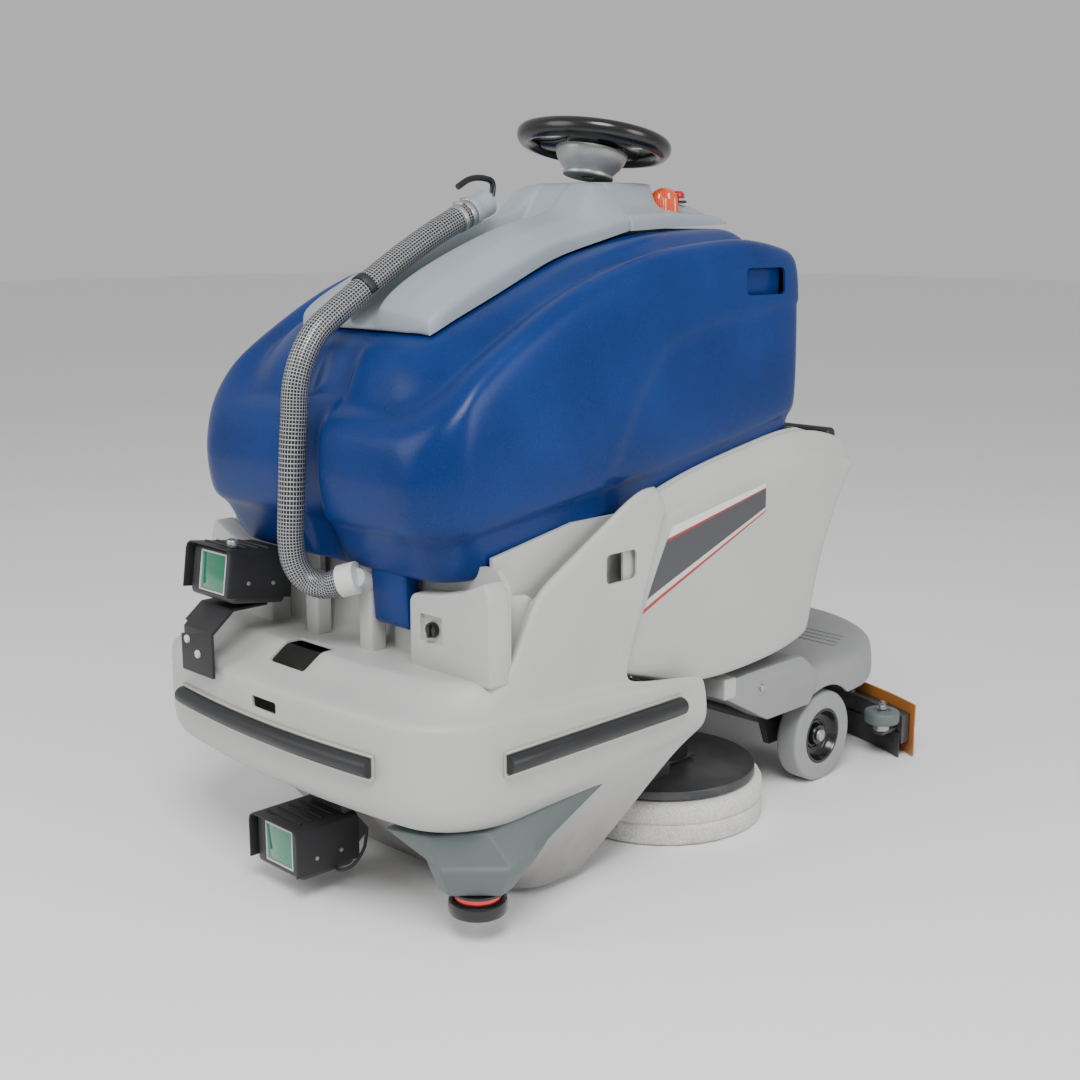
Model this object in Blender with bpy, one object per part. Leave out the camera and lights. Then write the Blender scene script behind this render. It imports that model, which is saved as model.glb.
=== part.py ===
"""Stand-on scrubber dryer: two disc brushes under the middle, a drive wheel in the nose, a standing platform and
a squeegee behind. Metres, +Z up, nose towards -Y, the machine's left towards +X, origin on the floor at the
middle."""

import math

import bmesh
import bpy
from mathutils import Matrix, Vector

# Overall sizes. Heights are from the floor, and Y is measured from the machine's own datum, MIDDLE_Y in front of
# the middle of its length.
GAP = 0.0003
CLEARANCE = 0.002
BODY_HALF_WIDTH = 0.430
NOSE_Y = -0.722
NOSE_BOW = 0.022
NOSE_CORNER = 0.120
BELT_TOP_Z = 0.400
BODY_WALL = 0.005
SKIRT_HALF_WIDTH = 0.345
SKIRT_Z = 0.016
LEDGE_Z = 0.455
LEDGE_REAR_Y = -0.505
LEDGE_WALL_TOP_Z = 0.585

# Bumpers
BUMPER_Z = 0.321
BUMPER_RADIUS = 0.016
RAIL_HEIGHT = 0.044
RAIL_DEPTH = 0.008
FRONT_BUMPER_HALF = 0.290
SIDE_BUMPER_FRONT_Y = -0.541
SIDE_BUMPER_REAR_Y = -0.080

# Rear body and platform
REAR_HALF_WIDTH = 0.390
REAR_BODY_FRONT_Y = -0.200
REAR_BODY_REAR_Y = 0.590
PLATFORM_HALF_WIDTH = 0.372
PLATFORM_REAR_Y = 0.940
PLATFORM_FRONT_Y = 0.430
PLATFORM_Z = 0.262
PLATFORM_SKIRT_Z = 0.187
PLATFORM_WALL = 0.006
ARM_FRONT_Y = 0.130
ARM_TOP_Z = 0.308
ARM_WIDTH = 0.060

# Wheels
WHEEL_RADIUS = 0.101
WHEEL_WIDTH = 0.054
WHEEL_OUTER_X = 0.3645
WHEEL_Y = 0.495
RIM_RADIUS = 0.062
AXLE_RADIUS = 0.011
DRIVE_RADIUS = 0.110
DRIVE_WIDTH = 0.070
DRIVE_Y = -0.350
FORK_COLUMN_RADIUS = 0.028
FORK_PLATE_Z = 0.240

# Frame
FRAME_Z = 0.360
FRAME_BAR = 0.040
FRAME_HALF_WIDTH = 0.330
TRAY_THICKNESS = 0.004
LEG_X = 0.270

# Brush deck
BRUSH_X = 0.215
BRUSH_Y = 0.118
BRUSH_RADIUS = 0.215
BRUSH_HEIGHT = 0.086
COVER_RADIUS = 0.197
COVER_TOP_Z = 0.108
DECK_PLATE_Z = 0.112
MOTOR_RADIUS = 0.058
MOTOR_HEIGHT = 0.140
SPINDLE_RADIUS = 0.018

# Squeegee
SQUEEGEE_HALF_WIDTH = 0.430
SQUEEGEE_Y = 0.835
SQUEEGEE_BOW = 0.105
SQUEEGEE_BAR_Z = (0.034, 0.100)
SQUEEGEE_PIVOT = (0.478, 0.205)
PIN_RADIUS = 0.008
BLADE_THICKNESS = 0.006
REAR_BLADE_TOP_Z = 0.125
FRONT_BLADE_TOP_Z = 0.060
ROLLER_RADIUS = 0.040
ROLLER_X = 0.385
ROLLER_Z = 0.105
ROLLER_GAP = 0.0128
ROLLER_Y = SQUEEGEE_Y - SQUEEGEE_BOW * (ROLLER_X / SQUEEGEE_HALF_WIDTH) ** 2 - ROLLER_RADIUS - ROLLER_GAP

# Recovery tank, lid and console
TANK_HALF_WIDTH = 0.370
TANK_FRONT_Y = -0.628
TANK_REAR_Y = 0.380
TANK_WALL = 0.006
TANK_OPENING = (0.150, -0.445, 0.020)
GROOVE_HALF_WIDTH = 0.050
GROOVE_DEPTH = 0.024
TANK_RIDGE = ((-0.600, 0.950), (-0.552, 0.977), (-0.433, 1.036), (-0.172, 1.139), (0.050, 1.190), (0.360,
                                                                                                   1.205))
TANK_CREASE = ((-0.628, 0.850), (-0.494, 0.979), (-0.288, 1.094), (-0.070, 1.161), (0.229, 1.187), (0.380,
                                                                                                    1.150))
TANK_FLOOR = ((-0.600, 0.598), (-0.520, 0.604), (-0.040, 0.674), (0.380, 0.692))
TANK_BELLY = ((-0.620, 0.700), (-0.300, 0.745), (-0.150, 0.755), (0.330, 0.840), (0.380, 0.845))
LID_FRONT_Y = -0.476
LID_REAR_Y = 0.054
LID_HALF_WIDTH = 0.172
LID_WALL = 0.004
SEAL_GAP = 0.004
LID_HINGE = (-0.484, 0.998)
CONSOLE_REAR_Y = 0.370
CONSOLE_WALL = 0.004
PLATEAU_Z = 1.290
PLATEAU_HALF_WIDTH = 0.100

# Steering
STEERING_CENTRE = (0.0, 0.130, 1.372)
STEERING_TILT = math.radians(12.5)
STEERING_RADIUS = 0.167
STEERING_GRIP = 0.017
CUP_TOP_RADIUS = 0.074
CUP_BASE_RADIUS = 0.048
CUP_HEIGHT = 0.056
SHAFT_RADIUS = 0.011

# Dash and pedal
DASH_BUTTON_X = 0.085
DASH_BUTTON_Y = 0.290
BUTTON_STEM_RADIUS = 0.007
BUTTON_TRAVEL = 0.004
BEACON_PLACE = (0.112, 0.222, 1.214)
BEACON_RADIUS = 0.030
PEDAL_PLACE = (0.130, 0.600, 0.272)

# Drain hose: a route down the front, round the lid's front edge and back up over the lid
HOSE_RADIUS = 0.0245
HOSE_LOW = ((0.074, -0.598, 0.586), (0.048, -0.614, 0.577), (0.020, -0.632, 0.586), (0.004, -0.646, 0.616),
            (0.0, -0.650, 0.655), (0.0, -0.648, 0.700), (0.0, -0.644, 0.760), (0.0, -0.640, 0.820), (0.0,
                                                                                                     -0.634,
                                                                                                     0.880))
HOSE_BEND = ((0.0, -0.634, 0.880), (0.0, -0.629, 0.930), (0.0, -0.612, 0.978), (0.0, -0.583, 1.020),
             (0.0, -0.540, 1.052), (0.0, -0.492, 1.082))
HOSE_HIGH = ((0.0, -0.492, 1.082), (0.0, -0.440, 1.1145), (0.0, -0.385, 1.147), (0.0, -0.330, 1.177),
             (0.0, -0.270, 1.206), (0.0, -0.215, 1.229))

# Cameras and scanner
UPPER_CAMERA = (-0.196, -0.690, 0.574)
LOWER_CAMERA = (0.0, -0.700, 0.093)
CAMERA_SIZE = (0.148, 0.120, 0.100)
LENS_SIZE = (0.078, 0.070)
SCANNER_PLACE = (0.381, -0.556)
SCANNER_RADIUS = 0.052
SCANNER_Z = (0.045, 0.090)
COVER_EDGE_Z = 0.188

MIDDLE_Y = (PLATFORM_REAR_Y + NOSE_Y - RAIL_DEPTH - BUMPER_RADIUS - 2 * GAP) / 2

COLOURS = {
    "blue": ((0.020, 0.060, 0.230), 0.35, 0.0), "lid_grey": ((0.330, 0.370, 0.400), 0.5, 0.0),
    "base_grey": ((0.480, 0.480, 0.480), 0.5, 0.0), "platform_grey": ((0.270, 0.275, 0.285), 0.55, 0.0),
    "black": ((0.012, 0.013, 0.015), 0.45, 0.0), "steel": ((0.500, 0.510, 0.520), 0.35, 1.0),
    "dark_steel": ((0.060, 0.062, 0.066), 0.4, 0.6), "rubber": ((0.020, 0.020, 0.022), 0.8, 0.0),
    "tyre_grey": ((0.300, 0.300, 0.305), 0.75, 0.0), "white": ((0.800, 0.790, 0.770), 0.8, 0.0),
    "amber": ((0.420, 0.150, 0.020), 0.5, 0.0), "orange": ((0.700, 0.060, 0.005), 0.25, 0.0),
    "green": ((0.010, 0.180, 0.080), 0.15, 0.0), "scanner_grey": ((0.140, 0.180, 0.180), 0.5, 0.0),
    "red": ((0.550, 0.010, 0.010), 0.35, 0.0),
}


def along(points, position):
    """The height at a position on a line through (position, height) points."""
    if position <= points[0][0]:
        return points[0][1]
    for (start, low), (end, high) in zip(points, points[1:]):
        if position <= end:
            return low + (high - low) * (position - start) / (end - start)
    return points[-1][1]


def between(start, end, share):
    return start + (end - start) * share


def material(name):
    """The Principled material of one of COLOURS."""
    found = bpy.data.materials.get(name)
    if found:
        return found
    colour, roughness, metallic = COLOURS[name]
    made = bpy.data.materials.new(name)
    made.use_nodes = True
    shader = made.node_tree.nodes["Principled BSDF"]
    shader.inputs["Base Color"].default_value = (*colour, 1.0)
    shader.inputs["Roughness"].default_value = roughness
    shader.inputs["Metallic"].default_value = metallic
    return made


def pivot(name, place, parent=None):
    """An empty that carries a moving body, on its joint's axis."""
    empty = bpy.data.objects.new(name, None)
    empty.location = Vector(place) - (Vector(parent["place"]) if parent else Vector())
    empty["place"] = tuple(place)
    empty.parent = parent
    bpy.context.scene.collection.objects.link(empty)
    return empty


def add(name, mesh, colour, parent):
    """A named object from a bmesh in machine coordinates, with its origin on its parent's."""
    bmesh.ops.translate(mesh, verts=mesh.verts, vec=-Vector(parent["place"]))
    data = bpy.data.meshes.new(name)
    mesh.to_mesh(data)
    mesh.free()
    data.materials.append(material(colour))
    data.shade_smooth()
    data.set_sharp_from_angle(angle=math.radians(35))
    made = bpy.data.objects.new(name, data)
    made.parent = parent
    bpy.context.scene.collection.objects.link(made)
    return made


def combine(base, operation, mesh):
    """Joins a bmesh in machine coordinates to an object, or cuts it away."""
    helper = add(f"{base.name}_{operation.lower()}_{len(base.modifiers)}", mesh, "black", base.parent)
    helper.hide_render = True
    helper.display_type = "WIRE"
    modifier = base.modifiers.new(helper.name, "BOOLEAN")
    modifier.operation = operation
    modifier.object = helper
    return base


def thicken(made, wall):
    """Gives an open skin its wall, inwards, in flat faces that a Boolean can cut."""
    modifier = made.modifiers.new("wall", "SOLIDIFY")
    modifier.thickness = wall
    modifier.offset = -1
    made.modifiers.new("flat_faces", "TRIANGULATE")
    return made


def box(low, high):
    mesh = bmesh.new()
    size = Vector(high) - Vector(low)
    middle = (Vector(high) + Vector(low)) / 2
    bmesh.ops.create_cube(mesh, size=1, matrix=Matrix.Translation(middle) @ Matrix.Diagonal((*size, 1)))
    return mesh


def rod(start, end, radius, end_radius=None, segments=20):
    """A cylinder or a cone between two points."""
    mesh = bmesh.new()
    line = Vector(end) - Vector(start)
    turn = line.to_track_quat("Z", "Y").to_matrix().to_4x4()
    matrix = Matrix.Translation((Vector(start) + Vector(end)) / 2) @ turn
    bmesh.ops.create_cone(mesh, cap_ends=True, segments=segments, radius1=radius,
                          radius2=radius if end_radius is None else end_radius, depth=line.length,
                          matrix=matrix)
    return mesh


def rows_mesh(rows, closed=False, caps=()):
    """Faces between rows of points. closed joins each row's ends, and caps names the rows that get a face."""
    mesh = bmesh.new()
    made = [[mesh.verts.new(point) for point in row] for row in rows]
    count = len(rows[0])
    for upper, lower in zip(made, made[1:]):
        for near in range(count if closed else count - 1):
            far = (near + 1) % count
            mesh.faces.new((upper[near], upper[far], lower[far], lower[near]))
    for index in caps:
        mesh.faces.new(made[index])
    return mesh


def skin(rows, closed=False, caps=()):
    """rows_mesh as an open skin that faces outwards, away from its middle."""
    mesh = rows_mesh(rows, closed, caps)
    bmesh.ops.recalc_face_normals(mesh, faces=mesh.faces)
    middle = sum((vert.co for vert in mesh.verts), Vector()) / len(mesh.verts)
    outward = sum(face.normal.dot(face.calc_center_median() - middle) * face.calc_area()
                  for face in mesh.faces)
    if outward < 0:
        bmesh.ops.reverse_faces(mesh, faces=mesh.faces)
    return mesh


def closed_solid(mesh):
    """The bmesh with its faces pointing out."""
    bmesh.ops.recalc_face_normals(mesh, faces=mesh.faces)
    if mesh.calc_volume(signed=True) < 0:
        bmesh.ops.reverse_faces(mesh, faces=mesh.faces)
    return mesh


def turned(profile, centre, direction=(0, 0, 1), hollow=False, segments=24):
    """A body turned about an axis. profile is (radius, height) pairs, and hollow joins its last to its first."""
    turn = Vector(direction).to_track_quat("Z", "Y").to_matrix()
    rows = []
    circle = [(math.cos(a), math.sin(a)) for a in (math.tau * step / segments for step in range(segments))]
    for radius, height in profile:
        rows.append([Vector(centre) + turn @ Vector((radius * x, radius * y, height)) for x, y in circle])
    if hollow:
        rows.append(rows[0])
    mesh = rows_mesh(rows, closed=True, caps=() if hollow else (0, -1))
    bmesh.ops.remove_doubles(mesh, verts=mesh.verts, dist=1e-6)
    return closed_solid(mesh)


def slab(outline, low, high, plane="XY"):
    """A flat plate with this outline, from low to high across its plane."""
    order = {"XY": (0, 1, 2), "YZ": (2, 0, 1), "XZ": (0, 2, 1)}[plane]
    rows = []
    for level in (low, high):
        row = []
        for first, second in outline:
            values = (first, second, level)
            row.append([values[index] for index in order])
        rows.append(row)
    return closed_solid(rows_mesh(rows, closed=True, caps=(0, -1)))


def hose(name, points, radius, colour, parent, sides=3):
    """A round hose along points in machine coordinates, as a bevelled curve."""
    curve = bpy.data.curves.new(name, "CURVE")
    curve.dimensions = "3D"
    curve.bevel_depth = radius
    curve.bevel_resolution = sides
    curve.use_fill_caps = True
    spline = curve.splines.new("POLY")
    spline.points.add(len(points) - 1)
    for place, point in zip(spline.points, points):
        place.co = (*(Vector(point) - Vector(parent["place"])), 1)
    curve.materials.append(material(colour))
    made = bpy.data.objects.new(name, curve)
    made.parent = parent
    bpy.context.scene.collection.objects.link(made)
    return made


def mirrored(half):
    """A row from the left end round to the right end, from its right half, which starts on the centre line."""
    return [(-x, y, z) for x, y, z in reversed(half[1:])] + list(half)


def ring(half):
    """A closed row from its right half, whose two ends are on the centre line."""
    return [(-x, y, z) for x, y, z in reversed(half[1:-1])] + list(half)


def wrap(half_width, end_y, bow, corner, far_y, height):
    """A row round one end of the body: a bowed end, an arc at each corner, then straight sides to far_y."""
    way = 1 if far_y > end_y else -1
    flat = half_width - corner
    plan = [(flat * share, end_y + way * bow * share**2) for share in (0, 0.34, 0.67, 1)]
    for step in range(1, 5):
        angle = math.radians(22.5 * step)
        plan.append((flat + corner * math.sin(angle), end_y + way * (bow + corner * (1 - math.cos(angle)))))
    side = plan[-1][1]
    plan += [(half_width, between(side, far_y, share)) for share in (0.12, 0.35, 0.65, 0.9, 1)]
    return mirrored([(x, y, height(x, y)) for x, y in plan])


def rim_height(y):
    """The front body's top edge: low at the nose, then up to the side walls."""
    return along(((-0.500, LEDGE_Z), (-0.455, 0.575), (-0.160, 0.738), (-0.120, 0.722)), y)


def lower_rows(levels, grown=0.0):
    """Rows of the front body: half width, nose Y, rear Y, corner, height at the nose, height at the rear."""
    rows = []
    for half_width, nose, rear, corner, front_z, rear_z in levels:
        line = ((nose + NOSE_BOW, front_z), (rear, rear_z))
        height = lambda x, y, line=line: along(line, y)
        rows.append(wrap(half_width + grown, nose - grown, NOSE_BOW, corner, rear, height))
    return rows


def skirt_rows(grown=0.0):
    """The skirt that narrows down round the drive wheel."""
    half = SKIRT_HALF_WIDTH
    return lower_rows(((half, -0.445, -0.260, 0.080, SKIRT_Z, SKIRT_Z), (half + 0.030, -0.515, -0.170, 0.090,
                                                                         0.100, 0.110),
                       (BODY_HALF_WIDTH - 0.026, -0.600, -0.060, 0.100, 0.192, 0.222)), grown)


def front_body(root):
    """The light grey nose: a belt with the bumpers, a skirt round the drive wheel, and two side walls."""
    belt = BODY_HALF_WIDTH
    rows = skirt_rows() + lower_rows((
        (belt - 0.014, -0.660, -0.006, 0.110, 0.200, 0.250),
        (belt - 0.003, NOSE_Y + 0.020, 0.000, NOSE_CORNER, 0.222, 0.268),
        (belt, NOSE_Y, 0.000, NOSE_CORNER, 0.275, 0.300),
        (belt, NOSE_Y, -0.004, NOSE_CORNER, BELT_TOP_Z - 0.015, 0.352),
    ))
    # half width, nose Y, rear Y, corner, share of the height from the belt to the rim
    upper = (
        (belt - 0.006, NOSE_Y + 0.022, -0.150, NOSE_CORNER, 0.20),
        (belt - 0.014, NOSE_Y + 0.052, -0.190, NOSE_CORNER, 0.55),
        (belt - 0.018, NOSE_Y + 0.080, -0.170, NOSE_CORNER, 0.94),
        (belt - 0.026, NOSE_Y + 0.100, -0.120, NOSE_CORNER, 1.00),
    )
    for half_width, nose, rear, corner, share in upper:
        height = lambda x, y, share=share: between(BELT_TOP_Z, rim_height(y), share)
        rows.append(wrap(half_width, nose, NOSE_BOW, corner, rear, height))
    # The ledge in front of the tank with the wall behind it, and the lip along the side walls
    rows.append(wrap(belt - 0.040, LEDGE_REAR_Y, 0.010, 0.060, -0.125, lambda x,
                     y: rim_height(y - 0.02) - 0.004))
    wall_y = LEDGE_REAR_Y + 0.025
    wall_top = lambda x, y: LEDGE_WALL_TOP_Z if y < wall_y + 0.060 else rim_height(y - 0.02) - 0.030
    rows.append(wrap(belt - 0.050, wall_y, 0.010, 0.060, -0.125, wall_top))
    body = thicken(add("front_body", skin(rows), "base_grey", root), BODY_WALL)
    combine(body, "DIFFERENCE", box((-0.048, -0.668, LEDGE_Z - 0.030), (0.048, -0.600, LEDGE_Z + 0.030)))
    combine(body, "DIFFERENCE", box((-0.036, NOSE_Y - 0.02, 0.358), (0.036, NOSE_Y + 0.02, 0.378)))
    for side in (-1, 1):
        x = side * BODY_HALF_WIDTH
        combine(body, "DIFFERENCE", box((x - 0.04, -0.262, 0.596), (x + 0.02, -0.200, 0.622)))
    ears(body)
    return body


def ears(body):
    """Two ears on the ledge, either side of the tank's tongue, that locate the tank."""
    floor = LEDGE_Z - BODY_WALL
    for side in (-1, 1):
        outline = ((0.205, floor), (0.330, floor), (0.330, 0.560), (0.290, 0.575), (0.215, 0.575), (0.205,
                                                                                                    0.560))
        combine(body, "UNION", slab([(side * x, z) for x, z in outline], -0.546, -0.534, "XZ"))


def bumpers(root):
    """Aluminium rails with half-round rubber strips, one across the nose and one on each side."""
    steps = 14
    face = NOSE_Y - GAP

    def nose_point(share, forward, z):
        x = between(-FRONT_BUMPER_HALF, FRONT_BUMPER_HALF, share)
        flat = BODY_HALF_WIDTH - NOSE_CORNER
        return x, face - forward + NOSE_BOW * (x / flat) ** 2, z

    low, high = BUMPER_Z - RAIL_HEIGHT / 2, BUMPER_Z + RAIL_HEIGHT / 2
    section = ((0, low), (RAIL_DEPTH, low), (RAIL_DEPTH, high), (0, high))
    rail_rows = [[nose_point(step / steps, forward, z) for forward,
                  z in section] for step in range(steps + 1)]
    add("front_bumper_rail", closed_solid(rows_mesh(rail_rows, closed=True, caps=(0, -1))), "steel", root)
    start = RAIL_DEPTH + GAP
    arc = [(start + BUMPER_RADIUS * math.sin(a), BUMPER_Z - BUMPER_RADIUS * math.cos(a))
           for a in (math.pi * step / 8 for step in range(9))]
    strip_rows = [[nose_point(step / steps, forward, z) for forward, z in arc] for step in range(steps + 1)]
    add("front_bumper_strip", closed_solid(rows_mesh(strip_rows, closed=True, caps=(0, -1))), "rubber", root)
    for side, name in ((1, "left"), (-1, "right")):
        inner = BODY_HALF_WIDTH + GAP
        rail = box((inner, SIDE_BUMPER_FRONT_Y, low), (inner + RAIL_DEPTH, SIDE_BUMPER_REAR_Y, high))
        strip = slab([(inner + forward, z) for forward, z in arc], SIDE_BUMPER_FRONT_Y, SIDE_BUMPER_REAR_Y,
                     "XZ")
        for mesh in (rail, strip):
            bmesh.ops.scale(mesh, verts=mesh.verts, vec=(side, 1, 1))
            closed_solid(mesh)
        add(f"{name}_bumper_rail", rail, "steel", root)
        add(f"{name}_bumper_strip", strip, "rubber", root)


def rear_body(root):
    """The light grey body behind: two side panels, a rear wall that leans back, and a cover on top of it."""
    top = ((REAR_BODY_FRONT_Y, 0.655), (-0.131, 0.685), (0.040, 0.752), (0.330, 0.800), (0.470, 0.790),
           (REAR_BODY_REAR_Y, 0.735))
    bottom = ((REAR_BODY_FRONT_Y, 0.405), (0.030, 0.345), (0.182, 0.352), (0.400, 0.426))
    # inset, rear Y, share of the height from the bottom edge to the top
    levels = ((0.018, 0.400, 0.0), (0.002, 0.418, 0.08), (0.0, 0.470, 0.35), (0.004, 0.545, 0.72),
              (0.010, REAR_BODY_REAR_Y - 0.008, 0.93), (0.022, REAR_BODY_REAR_Y - 0.012, 1.0))
    rows = []
    for inset, rear, share in levels:
        height = lambda x, y, share=share: between(along(bottom, y), along(top, y), share)
        rows.append(wrap(REAR_HALF_WIDTH - inset, rear, 0.012, 0.080, REAR_BODY_FRONT_Y, height))
    cover_z = along(top, 0.330) + 0.004
    rows.append(wrap(REAR_HALF_WIDTH - 0.030, TANK_REAR_Y + 0.015, 0.004, 0.040, REAR_BODY_FRONT_Y,
                     lambda x, y: min(along(top, y), cover_z)))
    return thicken(add("rear_body", skin(rows), "base_grey", root), BODY_WALL)


def thigh_pad(root):
    """A black rubber roll along the rear body's top edge."""
    x, y = 0.300, REAR_BODY_REAR_Y - 0.012
    z = along(((0.470, 0.790), (REAR_BODY_REAR_Y, 0.735)), y) + 0.018
    add("thigh_pad", rod((-x, y, z), (x, y, z), 0.016, segments=16), "rubber", root)


def tank_row(inset, front, rear, groove, height):
    """A closed row round the tank, with the hose's groove in its front."""
    half_width = TANK_HALF_WIDTH - inset
    corner = min(0.100, half_width / 2)
    flat = half_width - corner
    plan = [(0.0, front + groove), (GROOVE_HALF_WIDTH * 0.5, front + groove), (GROOVE_HALF_WIDTH, front),
            (between(GROOVE_HALF_WIDTH, flat, 0.5), front)]
    for step in range(5):
        angle = math.radians(22.5 * step)
        plan.append((flat + corner * math.sin(angle), front + corner * (1 - math.cos(angle))))
    start, end = front + corner, rear - corner * 0.5
    plan += [(half_width, between(start, end, share)) for share in (0.15, 0.35, 0.55, 0.78, 1)]
    plan += [(half_width - corner * 0.15, rear - corner * 0.15), (flat, rear), (flat / 2, rear), (0.0, rear)]
    return ring([(x, y, height(x, y)) for x, y in plan])


def recovery_tank(root):
    """The blue tank: a cup with an opening under the lid, a shoulder along each side and a leaning front."""
    mouth, mouth_front, mouth_rear = TANK_OPENING
    rows = [
        tank_row(TANK_HALF_WIDTH - mouth, mouth_front, mouth_rear, 0.0, lambda x, y: along(TANK_RIDGE,
                                                                                           y) - 0.004),
        tank_row(0.160, -0.505, 0.300, 0.006, lambda x, y: along(TANK_RIDGE, y) - 0.002),
        tank_row(0.100, -0.555, 0.345, 0.014, lambda x, y: between(along(TANK_RIDGE, y), along(TANK_CREASE,
                                                                                               y), 0.3)),
        tank_row(0.028, -0.616, 0.372, GROOVE_DEPTH, lambda x, y: along(TANK_CREASE, y)),
        tank_row(0.006, TANK_FRONT_Y, TANK_REAR_Y, GROOVE_DEPTH, lambda x, y: along(TANK_CREASE, y) - 0.055),
        tank_row(0.0, -0.616, TANK_REAR_Y, GROOVE_DEPTH, lambda x, y: along(TANK_BELLY, y)),
        tank_row(0.018, -0.596, TANK_REAR_Y - 0.006, 0.016, lambda x, y: along(TANK_BELLY, y) - 0.020),
        tank_row(0.022, -0.568, TANK_REAR_Y - 0.020, 0.008, lambda x, y: along(TANK_FLOOR, y) + 0.022),
        tank_row(0.045, -0.546, TANK_REAR_Y - 0.045, 0.0, lambda x, y: along(TANK_FLOOR, y)),
    ]
    tank = thicken(add("recovery_tank", skin(rows, closed=True, caps=(-1,)), "blue", root), TANK_WALL)
    tongue = slab(((-0.540, 0.640), (-0.540, 0.506), (-0.524, 0.500), (-0.500, 0.620)), 0.105, 0.198, "YZ")
    combine(tank, "UNION", tongue)
    for side in (-1, 1):
        block = box((TANK_HALF_WIDTH - 0.036, 0.168, 1.068), (TANK_HALF_WIDTH - 0.003, 0.310, 1.130))
        pocket = box((TANK_HALF_WIDTH - 0.031, 0.173, 1.073), (TANK_HALF_WIDTH + 0.020, 0.305, 1.125))
        for mesh in (block, pocket):
            bmesh.ops.scale(mesh, verts=mesh.verts, vec=(side, 1, 1))
            closed_solid(mesh)
        combine(tank, "UNION", block)
        combine(tank, "DIFFERENCE", pocket)
    return tank


def section(y, half_width, base, edge, crease, crown, channel):
    """A cross-section of a cover on the tank: side edge, crease, crown beside the channel, and the channel."""
    crease_x, crease_z = crease
    half = [(0.0, y, channel), (0.036, y, channel), (0.046, y, crown), (crease_x, y, crease_z),
            (half_width - 0.006, y, edge), (half_width, y, base)]
    return mirrored(half)


def lid(pivot_lid):
    """The grey lid over the tank's opening: two lobes beside the hose's channel, and a block at the back."""
    rows = []
    # Y, half width, then heights above the tank's ridge: side edge, crease, crown, channel
    stations = ((LID_FRONT_Y, 0.148, 0.020, 0.024, 0.026, 0.012), (LID_FRONT_Y + 0.010, 0.157, 0.026, 0.032,
                                                                   0.034, 0.014),
                (-0.380, 0.163, 0.034, 0.050, 0.052, 0.020), (-0.250, 0.168, 0.038, 0.058, 0.062, 0.024),
                (-0.120, LID_HALF_WIDTH, 0.036, 0.056, 0.066, 0.028), (-0.055, LID_HALF_WIDTH, 0.034, 0.054,
                                                                       0.066, 0.034))
    for y, half_width, edge, crease, crown, channel in stations:
        ridge = along(TANK_RIDGE, y)
        rows.append(section(y, half_width, ridge + SEAL_GAP, ridge + edge, (half_width * 0.68,
                                                                            ridge + crease),
                            ridge + crown, ridge + channel))
    for y, rise in ((-0.010, 0.5), (0.022, 0.95), (LID_REAR_Y, 1.0)):
        ridge = along(TANK_RIDGE, y)
        crown = between(ridge + 0.066, PLATEAU_Z, rise)
        crease = between(ridge + 0.054, PLATEAU_Z - 0.003, rise)
        rows.append(section(y, LID_HALF_WIDTH - 0.004, ridge + SEAL_GAP, ridge + 0.032, (PLATEAU_HALF_WIDTH,
                                                                                         crease), crown,
                            between(ridge + 0.034, PLATEAU_Z - 0.002, rise)))
    return thicken(add("lid", skin(rows, caps=(0, -1)), "lid_grey", pivot_lid), LID_WALL)


def console(root):
    """The grey console behind the lid: the plateau under the steering wheel, then the lower dash."""
    rows = []
    # Y, height of the middle, of the crease, and of the side edge above the ridge
    stations = ((LID_REAR_Y + CLEARANCE, PLATEAU_Z, 0.033), (0.205, PLATEAU_Z, 0.033), (0.232, 1.256, 0.028),
                (0.330, 1.246, 0.022), (CONSOLE_REAR_Y, 1.222, 0.006))
    for y, middle, edge in stations:
        ridge = along(TANK_RIDGE, y)
        half = [(0.0, y, middle), (0.050, y, middle), (PLATEAU_HALF_WIDTH, y, middle - 0.003),
                (0.130, y, between(ridge + edge, middle, 0.45)), (0.162, y, ridge + edge), (0.168, y,
                                                                                            ridge + SEAL_GAP)]
        rows.append(mirrored(half))
    made = thicken(add("console", skin(rows, caps=(0, -1)), "lid_grey", root), CONSOLE_WALL)
    x, y = DASH_BUTTON_X, DASH_BUTTON_Y
    for side in (-1, 1):
        combine(made, "DIFFERENCE", rod((side * x, y, 1.20), (side * x, y, 1.28),
                                        BUTTON_STEM_RADIUS + CLEARANCE))
    x, y, z = BEACON_PLACE
    combine(made, "DIFFERENCE", rod((x, y, z - 0.010), (x, y, z + 0.080), BEACON_RADIUS + CLEARANCE))
    return made


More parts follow.
